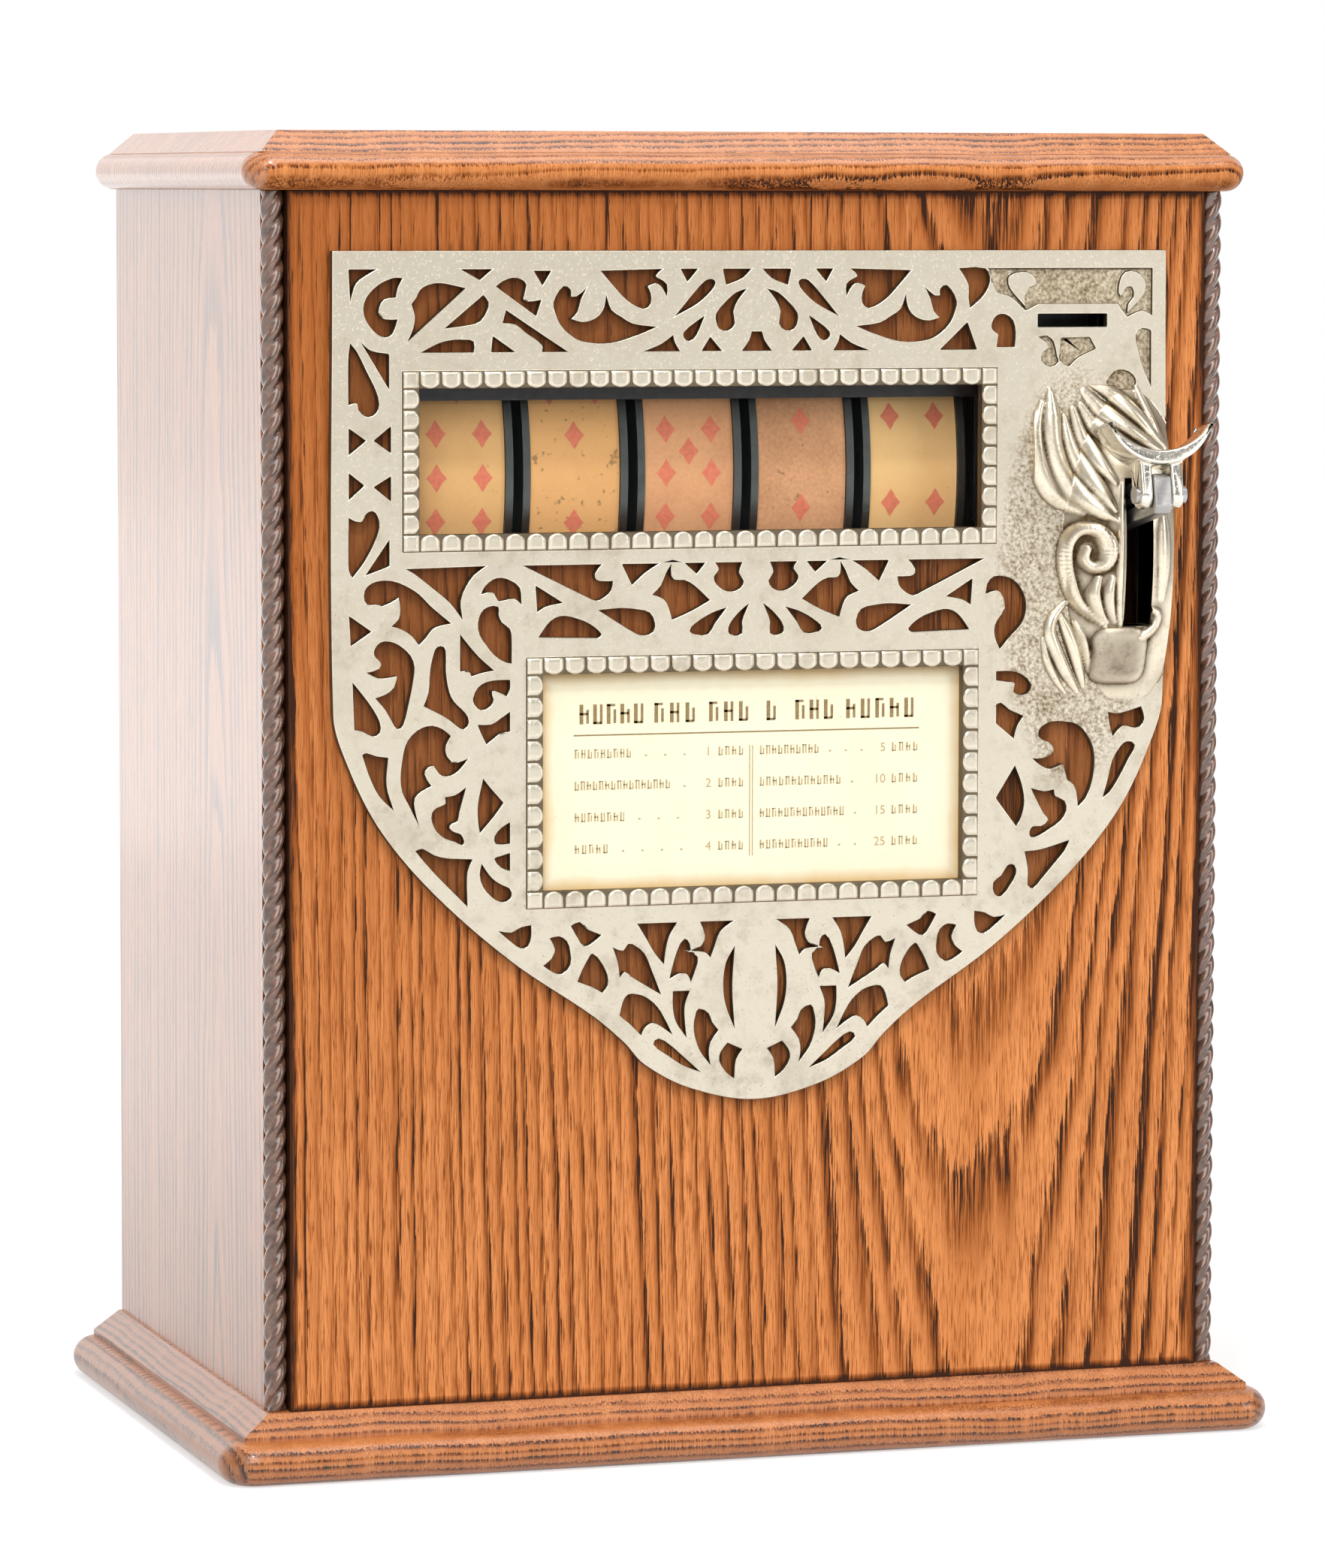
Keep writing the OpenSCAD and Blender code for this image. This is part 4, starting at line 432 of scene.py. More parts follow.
# %% Dark finishes
# Japanned iron, and a painted shadow where it covers the glass beads
iron_black_and_shade = mottled("iron_black_and_shade", 0.3, 4, [(0.3, (0.012, 0.012, 0.013)), (0.75, (0.035, 0.033, 0.032))],
                     Roughness=0.42, Coat_Weight=0.3)
rope_dark = mottled("rope_dark", 0.4, 3, [(0.3, (0.075, 0.036, 0.022)), (0.75, (0.25, 0.125, 0.080))],
                    Roughness=0.2, Coat_Weight=1.0, Coat_Roughness=0.05)
print("finishes with the dark ones:", len(bpy.data.materials))

# %% [markdown]
# Paper yellows from its edges and gathers brown specks. One recipe serves the five reel strips,
# each with its own tint, and the card under the window. The window's pane is clear, so its finish
# lets nearly everything through and keeps a faint gloss.

# %% Paper, ink and glass
EDGE_BROWN = (0.80, 0.53, 0.22)
SPECK_BROWN = (0.2, 0.11, 0.05)
CARD_LEFT, CARD_RIGHT, CARD_FOOT, CARD_TOP = -66, 65, 151.5, 215.5


def paper(name, colour, stain, specks, grain=0.35, blotch=0.5, box=None):
    """Aged paper: a slow stain, a finer mottle, specks above a noise level, and brown edges of a box."""
    mat, shader = material(name, Roughness=0.75, Specular_IOR_Level=0.2)
    p = object_mm(mat)
    slow = noise(mat, p, 0.045, 4, 0.6)
    mottle = noise(mat, p, 0.9, 3, 0.6)
    speck = ((noise(mat, p, 0.42) - specks) * 12).clip()
    blotches = ((slow - 0.42) * 2.2).clip()
    tone = mix(mat, (blotches * blotch + mottle * grain).clip(), colour, stain)
    if box:
        x, _, z = axes(mat, p)
        edge = (slow + 0.35 - edge_distance(x, z, box) / 4.5).clip()
        tone = mix(mat, edge, tone, EDGE_BROWN)
    feed(mat, shader.inputs["Base Color"], mix(mat, speck * 0.6, tone, SPECK_BROWN))
    return mat


# Colour, stain, level of the specks and grain of the five strips, from left to right
STRIP_TINTS = [((0.97, 0.60, 0.25), (0.74, 0.39, 0.15), 0.72, 0.4),
               ((0.98, 0.56, 0.22), (0.74, 0.36, 0.14), 0.64, 0.4),
               ((0.98, 0.53, 0.26), (0.62, 0.28, 0.14), 0.72, 0.6),
               ((1.00, 0.56, 0.29), (0.50, 0.23, 0.11), 0.68, 0.7),
               ((1.00, 0.68, 0.30), (0.90, 0.46, 0.17), 0.72, 0.4)]
strip_papers = [paper("strip_paper_%d" % (i + 1), *tint) for i, tint in enumerate(STRIP_TINTS)]
panel_foot = panel_low.z / MM
card_paper = paper("card_paper", (0.97, 0.895, 0.675), (0.93, 0.78, 0.48), 0.76, grain=0.12, blotch=0.35,
                   box=(CARD_LEFT, CARD_RIGHT, panel_foot + CARD_FOOT, panel_foot + CARD_TOP))
pip_red = mottled("pip_red", 0.8, 3, [(0.35, (0.90, 0.27, 0.15)), (0.7, (0.80, 0.21, 0.12))], Roughness=0.8)
ink_brown = mottled("ink_brown", 1.2, 3, [(0.3, (0.25, 0.165, 0.065)), (0.75, (0.38, 0.27, 0.12))],
                    Roughness=0.8)
ink_faded = mottled("ink_faded", 1.2, 3, [(0.3, (0.46, 0.34, 0.16)), (0.75, (0.62, 0.48, 0.26))],
                    Roughness=0.8)
clear_glass, _ = material("clear_glass", Base_Color=(0.06, 0.07, 0.065, 1), Roughness=0.04, Alpha=0.03)
print("papers:", len(strip_papers) + 1)

# %% [markdown]
# The solids whose shape is already right keep their meshes and only change their finish. A board
# whose end or edge looks different gets a second finish there, picked by the direction of its faces.

# %% Finishes on the solids
FACES_THAT_WAY = 0.35


def dress(finish, *names):
    for name in names:
        slots = nodes[name].data.materials
        slots.clear()
        slots.append(finish)


def face_normals(mesh):
    """The x, y and z of every face's normal, as three arrays."""
    ways = np.zeros(len(mesh.polygons) * 3)
    mesh.polygons.foreach_get("normal", ways)
    return ways.reshape(-1, 3).T


def second_finish(name, finish, chosen):
    """The chosen faces of a solid get a finish of their own."""
    mesh = nodes[name].data
    mesh.materials.append(finish)
    mesh.polygons.foreach_set("material_index", chosen.astype(np.int32))


dress(oak_front, "front_panel")
dress(oak_side, "side_left", "side_right")
dress(oak_face, "top_board")
dress(oak_long, "base_plinth", "mech_shelf")
dress(oak_door, "back_door", "shelf_cleats")
dress(brass_old, "hinge_leaves_case", "hinge_leaves_door", "lock_barrel", "reel_collars", "sector_gear",
      "kicker_pinion", "timer_gear", "fan_vane", "fan_cock")
dress(steel_dull, "casting_screws", "hinge_pins", "lock_cam", "tie_rods", "reel_shaft", "shaft_nuts",
      "stop_rod", "finger_rest_pin", "lever_shaft", "lever_spring", "kicker_shaft", "kick_fingers",
      "fan_arbor")
# Painted shadow: the glass beads' black lip along the top of the reel window
dress(iron_black_and_shade, "frame_left", "frame_right", "lever_bracket", "glass_beads")
dress(iron_grey, "lever_arm")
dress(tin_grey, "cash_box")
dress(tin_dark, "coin_chute")
for i in range(5):
    dress(steel_dull, "stop_pawl_%d" % (i + 1))
    dress(reel_tin, "reel_drum_%d" % (i + 1))
    dress(strip_papers[i], "reel_strip_%d" % (i + 1))
dress(card_paper, "award_card")
dress(clear_glass, "reel_window_glass")
dress(nickel_flat, "front_casting")
dress(nickel_polished, "finger_rest")
dress(rope_dark, "rope_moulding_left", "rope_moulding_right")
# The top board's left end and upper front edge are glossier than its face
nx, ny, nz = face_normals(nodes["top_board"].data)
upper_edge = (ny < -FACES_THAT_WAY) & (nz > FACES_THAT_WAY)
second_finish("top_board", oak_end, (nx < -FACES_THAT_WAY) | upper_edge)
# The plinth's short sides have grain of their own
nx, ny, nz = face_normals(nodes["base_plinth"].data)
second_finish("base_plinth", oak_return, np.abs(nx) > FACES_THAT_WAY)
print("dressed", len(nodes), "solids")

# %% [markdown]
# New pieces are grids of points. A grid knows its rows and columns, so its faces follow from the
# point numbers alone. The helpers below turn a grid, or many small ones, into a mesh, and hand the
# finished piece to the body that it rides on.

# %% Grid helpers


def mesh_object(name, points, faces, finish):
    """One smooth object from an array of points in metres and an array of faces."""
    mesh = bpy.data.meshes.new(name)
    mesh.from_pydata(np.asarray(points).reshape(-1, 3).tolist(), [], [list(map(int, f)) for f in faces])
    mesh.update()
    mesh.polygons.foreach_set("use_smooth", np.full(len(mesh.polygons), True))
    mesh.materials.append(finish)
    return into_scene(bpy.data.objects.new(name, mesh))


def grid_faces(rows, cols, closed=False):
    """Quads (i, j), (i, j+1), (i+1, j+1), (i+1, j); a closed grid joins its last column to its first."""
    i = np.arange(rows - 1)[:, None]
    j = np.arange(cols if closed else cols - 1)[None, :]
    right = (j + 1) % cols
    quads = [i * cols + j, i * cols + right, (i + 1) * cols + right, (i + 1) * cols + j]
    return np.stack(np.broadcast_arrays(*quads), -1).reshape(-1, 4)


def patch_faces(patches):
    """Quads of many equal grids, given as an array of patches, rows, columns and coordinates."""
    count, rows, cols = patches.shape[:3]
    first = rows * cols * np.arange(count)[:, None, None]
    return (grid_faces(rows, cols)[None] + first).reshape(-1, 4)


def settle(obj, body, slot, *replaced):
    """A finished piece rides on a body and may stand for solids; the slot is not used."""
    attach(obj, body)
    if replaced:
        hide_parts(*replaced)
    print(obj.name, "faces:", len(obj.data.polygons))
    return obj


print("a grid of 3 by 3 points has", len(grid_faces(3, 3)), "faces")

# %% [markdown]
# The rope mouldings are carved so that three round strands wind round one another. Three twisted
# tubes would cut through one another, so the outer skin is one grid: the radius at an angle is the
# farthest edge of three circles whose middles turn as the height grows.

# %% Rope mouldings
ROPE_ROWS, ROPE_COLS = 700, 36
ROPE_PITCH = 0.0205
STRAND_SHARE = 0.56


def rope(name, node):
    """r(a, z) = distance to the outer edge of the nearest of three strands, turned by z / pitch."""
    low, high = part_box(node)
    middle = (low + high) / 2
    outer = (high.x - low.x) / 2
    strand, off = outer * STRAND_SHARE, outer * (1 - STRAND_SHARE)
    angle = np.linspace(0, 2 * np.pi, ROPE_COLS, endpoint=False)[None, :]
    z = np.linspace(low.z, high.z, ROPE_ROWS)[:, None]
    turn = angle - 2 * np.pi * z / ROPE_PITCH
    near = (turn + np.pi / 3) % (2 * np.pi / 3) - np.pi / 3
    r = off * np.cos(near) + np.sqrt(strand ** 2 - (off * np.sin(near)) ** 2)
    x = middle.x + r * np.cos(angle)
    y = middle.y + r * np.sin(angle)
    pts = np.stack(np.broadcast_arrays(x, y, z), -1)
    faces = list(grid_faces(ROPE_ROWS, ROPE_COLS, closed=True))
    faces.append(np.arange(ROPE_COLS)[::-1])
    faces.append(np.arange(ROPE_COLS) + (ROPE_ROWS - 1) * ROPE_COLS)
    return settle(mesh_object(name, pts, faces, rope_dark), "case", "dark_oak", node)


rope("rope_left", "rope_moulding_left")
rope("rope_right", "rope_moulding_right")

# %% [markdown]
# A casting has no sharp edge: sand moulds round them, and wear rounds them more. A merged copy of
# the pierced solid gets a narrow bevel on its real edges. The finger rest was polished far longer, so
# its copy gets a wider one.

# %% Bevelled castings
SHARP = math.radians(35)
MERGE = 1e-6


def rounded_copy(name, node, width, segments, finish, body, slot, flat_from=2.0):
    """A merged copy of a solid with its sharp edges bevelled; faces turned to the front can stay flat."""
    bm = bmesh.new()
    bm.from_mesh(nodes[node].data)
    bmesh.ops.remove_doubles(bm, verts=bm.verts, dist=MERGE)
    mesh = bpy.data.meshes.new(name)
    bm.to_mesh(mesh)
    bm.free()
    obj = into_scene(bpy.data.objects.new(name, mesh))
    edge = obj.modifiers.new("edge", "BEVEL")
    edge.width = width
    edge.segments = segments
    edge.limit_method = "ANGLE"
    edge.angle_limit = SHARP
    edge.use_clamp_overlap = False
    edge.harden_normals = True
    mesh.polygons.foreach_set("use_smooth", np.abs(face_normals(mesh)[1]) < flat_from)
    mesh.materials.clear()
    mesh.materials.append(finish)
    mesh.polygons.foreach_set("material_index", np.zeros(len(mesh.polygons), np.int32))
    return settle(obj, body, slot, node)


casting = rounded_copy("casting_plate", "front_casting", 0.0004, 2, nickel_flat, "case", "nickel",
                       flat_from=0.99)
rounded_copy("finger_rest_polished", "finger_rest", 0.0009, 3, nickel_polished, "rest", "nickel")
rounded_copy("lever_blade", "lever_arm", 0.0006, 2, iron_grey, "lever", "grey_iron")

# %% [markdown]
# Polish never reaches the sunk ground, so it gets a darker, rougher finish. The walls of the
# piercings and the band under the tongues get a near-black finish, painted shade where the plate
# shades itself. Those faces are picked by their direction and depth. The depths are places on the
# y axis, in millimetres before the panel's face.

# %% Dull faces and painted shade of the casting
PLATE_FRONT = -3.2
SUNK_FRONT = PLATE_FRONT + 1.2
BORDER_FRONT = -4.0
SAME_DEPTH = 0.05
casting.data.materials.append(nickel_ground)
casting.data.materials.append(nickel_wall_shade)
front_way = -face_normals(casting.data)[1]
middle_of = np.zeros(len(casting.data.polygons) * 3)
casting.data.polygons.foreach_get("center", middle_of)
depth_mm = (middle_of[1::3] - SHIFT[1]) / MM
flat_front = front_way > 0.99
sunk = flat_front & (np.abs(depth_mm - SUNK_FRONT) < SAME_DEPTH)
band = flat_front & (np.abs(depth_mm - BORDER_FRONT) < SAME_DEPTH)
# Painted shade: the walls and the band between the tongues take the near-black finish
dull = band | (np.abs(front_way) < 0.3)
which = np.where(sunk, 1, np.where(dull, 2, 0)).astype(np.int32)
casting.data.polygons.foreach_set("material_index", which)
print("sunk faces:", int(sunk.sum()), "wall faces:", int((which == 2).sum()))

# %% [markdown]
# Both windows are framed by a band of small tongues, each with its round end towards the window.
# One tongue is a surface over length a and width b: its half width shrinks as a semicircle near the
# tip, and its height falls off to every side. Copies of it are set in rows by adding their places.

# %% Tongues round the windows
PLATE_X = -0.5
TONGUE_PITCH, BAND = 6.4, 5.0


def tongue(length, width, height, tip=0.42):
    """Points (along, across, up): across = b * w(a), w a half circle over the tip, up flat-topped."""
    a = np.linspace(0, 1, 12)[:, None]
    b = np.linspace(-1, 1, 9)[None, :]
    t = np.clip((a - 1 + tip) / max(tip, 1e-6), 0, 1)
    w = width / 2 * np.sqrt(np.clip(1 - 0.97 * t ** 2, 0, 1))
    up = height * (1 - b ** 8) * (1 - (2 * a - 1) ** 12)
    return np.stack(np.broadcast_arrays(a * length, b * w, up), -1)


def border(name, mid, low, width, height):
    """Tongues in four rows round a window given by its middle, foot, width and height, and corner pads."""
    shape = tongue(BAND - 0.25, TONGUE_PITCH - 0.75, 0.55)
    foot = BORDER_FRONT + 0.02
    sets = []
    for lying, edge, way in ((True, low, -1), (True, low + height, 1),
                             (False, mid - width / 2, -1), (False, mid + width / 2, 1)):
        span = width if lying else height
        count = round(span / TONGUE_PITCH)
        steps = (np.arange(count) + 0.5) * span / count
        start = mid - width / 2 if lying else low
        side = start + steps[:, None, None] + shape[None, ..., 1] * (span / count) / TONGUE_PITCH
        out = np.broadcast_to(edge + way * (BAND - 0.2 - shape[..., 0]), side.shape)
        front = np.broadcast_to(foot - shape[..., 2], side.shape)
        sets.append(place(side + PLATE_X, front, out) if lying else place(out + PLATE_X, front, side))
    pad = tongue(BAND - 0.4, BAND - 0.4, 0.45, tip=0)
    for right in (-1, 1):
        for base in (low - BAND + 0.2, low + height + 0.2):
            x = mid + right * (width / 2 + BAND / 2) + PLATE_X + pad[..., 1]
            sets.append(place(x, foot - pad[..., 2], base + pad[..., 0])[None])
    pts = np.concatenate(sets)
    return settle(mesh_object(name, pts, patch_faces(pts), nickel_flat), "case", "nickel")


# Middle, foot, width and height of the two windows
REEL_WINDOW = (-16.5, 257, 174, 42.5)
CARD_WINDOW = (PLATE_X, CARD_FOOT, CARD_RIGHT - CARD_LEFT, CARD_TOP - CARD_FOOT)
border("reel_window_tongues", *REEL_WINDOW)
border("card_window_tongues", *CARD_WINDOW)

# %% [markdown]
# The lever comes out of a boss carved with leaves. Carving like this is a sum of strokes: each
# stroke is a curved path with a width and a height along it, and the surface takes the highest
# stroke at every point. The strokes lie on the boss's own swelling, a lemon turned about an upright
# axis. Sculpting by hand could do it too, but paths can be read and changed.

# %% Strokes of the carving
LEVER_X = 117.0
BOSS_SAG, BOSS_R, BOSS_ARC, BOSS_Z = 14.545, 25.545, 110.23, 250.0


def swelling(x, z):
    """Height of the lemon over the plate: sqrt(R(z)^2 - (x - x0)^2) - sag, with R an arc of z."""
    reach = np.sqrt(np.clip(BOSS_ARC ** 2 - (z - BOSS_Z) ** 2, 0, None)) - BOSS_ARC + BOSS_R
    return np.sqrt(np.clip(reach ** 2 - (x - LEVER_X) ** 2, 0, None)) - BOSS_SAG


def curve_through(points, count=60):
    """A smooth cubic curve through points: at each it heads from the point before to the one after."""
    p = np.asarray(points, float)
    p = np.vstack([2 * p[0] - p[1], p, 2 * p[-1] - p[-2]])
    t = np.linspace(0, len(p) - 3 - 1e-9, count)
    k = t.astype(int)
    f = (t - k)[:, None]
    a, b, c, d = p[k], p[k + 1], p[k + 2], p[k + 3]
    square, cube = 2 * a - 5 * b + 4 * c - d, 3 * b - a - 3 * c + d
    return 0.5 * (2 * b + (c - a) * f + square * f ** 2 + cube * f ** 3)


def stroke(x, z, path, lean):
    """Height = top * (1 - s^2)^0.7, s the distance from the path in half widths; lean shifts the crest."""
    c = curve_through(path)
    flat_x, flat_z = x.ravel(), z.ravel()
    gap = (flat_x[:, None] - c[None, :, 0]) ** 2 + (flat_z[:, None] - c[None, :, 1]) ** 2
    near = gap.argmin(1)
    along = np.gradient(c[:, :2], axis=0)
    along /= np.linalg.norm(along, axis=1)[:, None] + 1e-9
    off_x, off_z = flat_x - c[near, 0], flat_z - c[near, 1]
    side = along[near, 0] * off_z - along[near, 1] * off_x
    ends = np.abs(along[near, 0] * off_x + along[near, 1] * off_z)
    s = np.hypot(side - lean * c[near, 2], ends) / (c[near, 2] * (1 + np.abs(lean)) + 1e-9)
    return (c[near, 3] * np.clip(1 - s ** 2, 0, None) ** 0.7).reshape(x.shape)


print("the boss stands", round(float(swelling(LEVER_X, BOSS_Z)), 2), "mm over the plate")

# %% [markdown]
# The paths were read from the picture. Each has rows of x, z, half width and height, and a lean that
# moves its crest to one side, as a chisel held aslant does.

# %% Leaves
LEAVES = [
    # Long leaves that sweep down to the slot
    ([(89.5, 294, 0.8, 0.8), (87.6, 286, 2.2, 1.8), (88.2, 279, 2.8, 2.4), (91, 271.5, 3.0, 2.6),
      (95, 266, 2.6, 2.2), (101, 261.5, 1.0, 0.8)], -0.3),
    ([(92, 298, 0.8, 0.8), (93, 290, 2.4, 2.4), (93.6, 282, 2.6, 3.0), (96, 274, 3.0, 3.4),
      (100.5, 267, 2.8, 3.0), (106, 262, 2.0, 2.2), (110, 259.3, 0.8, 0.8)], -0.3),
    ([(96.5, 290, 0.8, 0.8), (98.3, 282.5, 2.0, 2.2), (101.5, 275, 2.5, 2.8), (105.8, 268, 2.2, 2.4),
      (109.6, 262, 0.8, 0.8)], -0.3),
    ([(99.5, 292, 1.0, 0.8), (102.5, 283.5, 2.0, 2.2), (106, 276.5, 2.0, 2.3), (110, 270.5, 0.9, 0.9)], -0.3),
    # Folds that run to the right above the finger rest
    ([(104, 300, 1.0, 0.8), (110.5, 296.5, 1.9, 2.2), (117, 290.5, 2.0, 2.2), (122.5, 285, 1.6, 1.6),
      (127, 281, 0.8, 0.6)], 0.3),
    ([(102.5, 297, 1.2, 0.8), (107.5, 291, 2.3, 2.4), (113, 287, 2.0, 2.4), (119, 283, 1.6, 1.8),
      (125, 280, 0.8, 0.6)], 0.3),
    ([(101.5, 293, 1.0, 0.8), (105.5, 286.5, 2.2, 2.4), (110, 283, 2.2, 2.8), (115, 280, 1.8, 2.2),
      (121, 278.5, 0.9, 0.8)], 0.3),
    ([(119, 300, 0.8, 0.6), (121, 294, 1.4, 1.6), (124, 287, 1.4, 1.6), (127.5, 280.5, 0.7, 0.6)], 0.0),
    # Volute beside the slot, and its stem
    ([(107.5, 227, 0.8, 0.6), (102.5, 231, 1.5, 1.6), (99.3, 235, 1.9, 2.0), (97.4, 240, 2.2, 2.4),
      (96.3, 246, 2.3, 2.6), (96.8, 252, 2.2, 2.8), (99.8, 256, 2.2, 2.8), (104.5, 255.8, 2.5, 2.8),
      (107.3, 251.5, 3.0, 2.8), (106.6, 246.3, 2.6, 2.6), (103.2, 244.8, 1.9, 2.2),
      (100.9, 247.2, 1.8, 2.0), (101.4, 250.3, 1.7, 2.0)], 0.0),
    ([(104.6, 241.5, 1.0, 0.8), (103.3, 236.5, 1.8, 2.0), (104.8, 231.5, 1.6, 1.7),
      (107.6, 228, 0.7, 0.6)], 0.2),
    ([(108.6, 241.5, 0.9, 0.8), (107.5, 236.5, 1.5, 1.8), (108.4, 231.5, 1.2, 1.4),
      (110, 228.2, 0.6, 0.5)], 0.2),
    # Small leaves at the foot
    ([(97, 234, 0.8, 0.6), (93, 229.5, 1.5, 1.5), (92, 225, 1.8, 1.8), (94, 219, 2.0, 2.0),
      (97, 213, 1.8, 1.6), (101, 207, 0.8, 0.5)], 0.2),
    ([(95, 231, 0.8, 0.6), (97.3, 225.5, 1.7, 2.0), (99.6, 219.5, 1.9, 2.2), (101.4, 213.5, 1.5, 1.6),
      (103, 208.5, 0.7, 0.5)], 0.2),
    ([(99.5, 228, 0.7, 0.6), (101.8, 223, 1.3, 1.6), (103.2, 218, 1.3, 1.6), (104.5, 213, 0.7, 0.6)], 0.0),
    ([(90, 223, 0.7, 0.5), (91.4, 216.5, 1.4, 1.4), (94.5, 210.5, 1.2, 1.0), (97.5, 206.5, 0.6, 0.4)], 0.0),
    # Curl under the slot's right corner, and the ribs beside the slot
    ([(114.5, 222, 1.0, 0.8), (118.6, 223.6, 1.7, 1.9), (122.4, 226.6, 1.8, 2.2), (123.6, 230.3, 1.6, 2.0),
      (121.8, 231.8, 1.1, 1.4)], 0.0),
    ([(124.8, 262, 1.0, 0.6), (125.0, 254, 2.2, 1.5), (125.2, 244, 2.2, 1.5), (124.6, 235, 1.3, 0.8)], 0.0),
    ([(112, 269.5, 0.7, 0.6), (111.2, 258, 1.0, 1.2), (110.9, 246, 1.1, 1.3), (111.0, 235, 1.0, 1.0),
      (111.8, 227.5, 0.7, 0.6)], 0.0),
]
print("leaf strokes:", len(LEAVES))

# %% [markdown]
# The strokes are now added up on one fine grid over the boss. Grid lines fall on the edges of the
# lever's slot, so that the slot stays clean. A groove lies below the average of its surroundings,
# and that difference is kept to darken it: dirt stays where no thumb reaches, and the darkening is
# painted shade in the creases too. The smooth shield is darkened as well, which is painted shade alone.

# %% Heights of the carving
SLOT_LEFT, SLOT_RIGHT, SLOT_FOOT, SLOT_TOP = 112.65, 121.35, 227.0, 271.5
CARVED_LEFT, CARVED_RIGHT, CARVED_FOOT, CARVED_TOP = 86.5, 128.9, 203.5, 299


def lines(stops, counts):
    """Grid lines from stop to stop, with a given number of lines on every stretch, ends shared."""
    parts = [np.linspace(a, b, n) for a, b, n in zip(stops, stops[1:], counts)]
    return np.concatenate([parts[0], *[part[1:] for part in parts[1:]]])


def soften(field, reach=4):
    """An average with bell-shaped weights over rows, then over columns, with the edges repeated."""
    k = np.exp(-0.5 * (np.arange(-3 * reach, 3 * reach + 1) / reach) ** 2)
    window = np.lib.stride_tricks.sliding_window_view
    field = window(np.pad(field, 3 * reach, mode="edge"), k.size, axis=0) @ k / k.sum()
    return window(field, k.size, axis=1) @ k / k.sum()


X, Z = np.meshgrid(lines([CARVED_LEFT, SLOT_LEFT, SLOT_RIGHT, CARVED_RIGHT], [80, 22, 24]),
                   lines([CARVED_FOOT, SLOT_FOOT, SLOT_TOP, CARVED_TOP], [70, 118, 76]))
leaf = np.max([stroke(X, Z, path, lean) for path, lean in LEAVES], axis=0)
# The smooth shield below the slot
shield = 1.9 * np.clip(1 - ((X - 112.5) / 8.5) ** 4 - ((Z - 218) / 8.8) ** 4, 0, None) ** 0.5
carving = np.maximum(leaf, shield)
rise = np.clip(swelling(X, Z), 0, None) + carving
# The sheet dips into the plate at its rim and where nothing is carved
rim = np.minimum.reduce([(X - CARVED_LEFT) / 2, (Z - CARVED_FOOT) / 2, (CARVED_TOP - Z) / 2])
height = rise + 0.12 - 0.5 * np.clip(1 - rim, 0, 1) - 0.45 * (rise < 0.05)
# Dirt and painted shade in the creases; the added half on the shield is painted shade alone
crease_dirt_and_shade = np.clip((soften(carving) - carving) / 0.75 + 0.5 * (shield > leaf), 0, 1) ** 0.8
print("highest leaf:", round(float(height.max()), 2), "mm")

# %% [markdown]
# The carved surface becomes a closed sheet: the front follows the heights, the back lies inside the
# plate, and a wall joins them along the edge and round the lever's slot.

# %% Closing the carved sheet
SHEET_BACK = PLATE_FRONT + 1.6
SHARP_WALL = math.radians(60)


def closed_sheet(name, front, back, keep, finish, hollow):
    """Front and back grids of equal size; keep marks the cells that stay. Walls close the open edges."""
    rows, cols = front.shape[:2]
    quads = grid_faces(rows, cols)[keep.ravel()]
    count = rows * cols
    sides = np.concatenate([quads[:, [0, 1]], quads[:, [1, 2]], quads[:, [2, 3]], quads[:, [3, 0]]])
    key = np.sort(sides, axis=1)
    _, first, times = np.unique(key[:, 0] * count + key[:, 1], return_index=True, return_counts=True)
    edge = sides[first[times == 1]]
    walls = np.stack([edge[:, 1], edge[:, 0], edge[:, 0] + count, edge[:, 1] + count], -1)
    faces = np.concatenate([quads, quads[:, ::-1] + count, walls])
    obj = mesh_object(name, np.concatenate([front.reshape(-1, 3), back.reshape(-1, 3)]), faces, finish)
    # The crease map: dirt and painted shade in the carving's hollows
    dark = obj.data.attributes.new("crease_dirt_and_shade", "FLOAT", "POINT")
    dark.data.foreach_set("value", np.concatenate([hollow.ravel(), np.zeros(count)]))
    bm = bmesh.new()
    bm.from_mesh(obj.data)
    bmesh.ops.delete(bm, geom=[v for v in bm.verts if not v.link_faces], context="VERTS")
    bmesh.ops.recalc_face_normals(bm, faces=bm.faces)
    bm.to_mesh(obj.data)
    bm.free()
    obj.data.set_sharp_from_angle(angle=SHARP_WALL)
    return obj


in_slot = (X > SLOT_LEFT - 0.01) & (X < SLOT_RIGHT + 0.01) & (Z > SLOT_FOOT - 0.01) & (Z < SLOT_TOP + 0.01)
cell_slot = in_slot[:-1, :-1] & in_slot[1:, 1:]
cell_high = np.maximum.reduce([height[:-1, :-1], height[1:, :-1], height[:-1, 1:], height[1:, 1:]])
front = place(X, PLATE_FRONT - height, Z)
back = place(X, np.full_like(X, SHEET_BACK), Z)
carved = closed_sheet("boss_leaves", front, back, ~cell_slot & (cell_high > -0.15), nickel_carved, crease_dirt_and_shade)
settle(carved, "case", "nickel")

# %% [markdown]
# Each reel carries playing-card pips printed in faded red. A pip is a diamond with slightly hollow
# sides. A texture would blur at this size, so each is a thin patch laid on the strip: its height is
# turned into an angle round the reel.

# %% Pips on the reels
REEL_Y, REEL_Z, REEL_R, REEL_PITCH, REEL_X = 89.0, 273.3, 75.0, 35.4, -16.0
CARD_STEP = 2 * math.pi / 12
CARD_HALF_WIDTH, CARD_HALF_HEIGHT = 12.6, 19.7


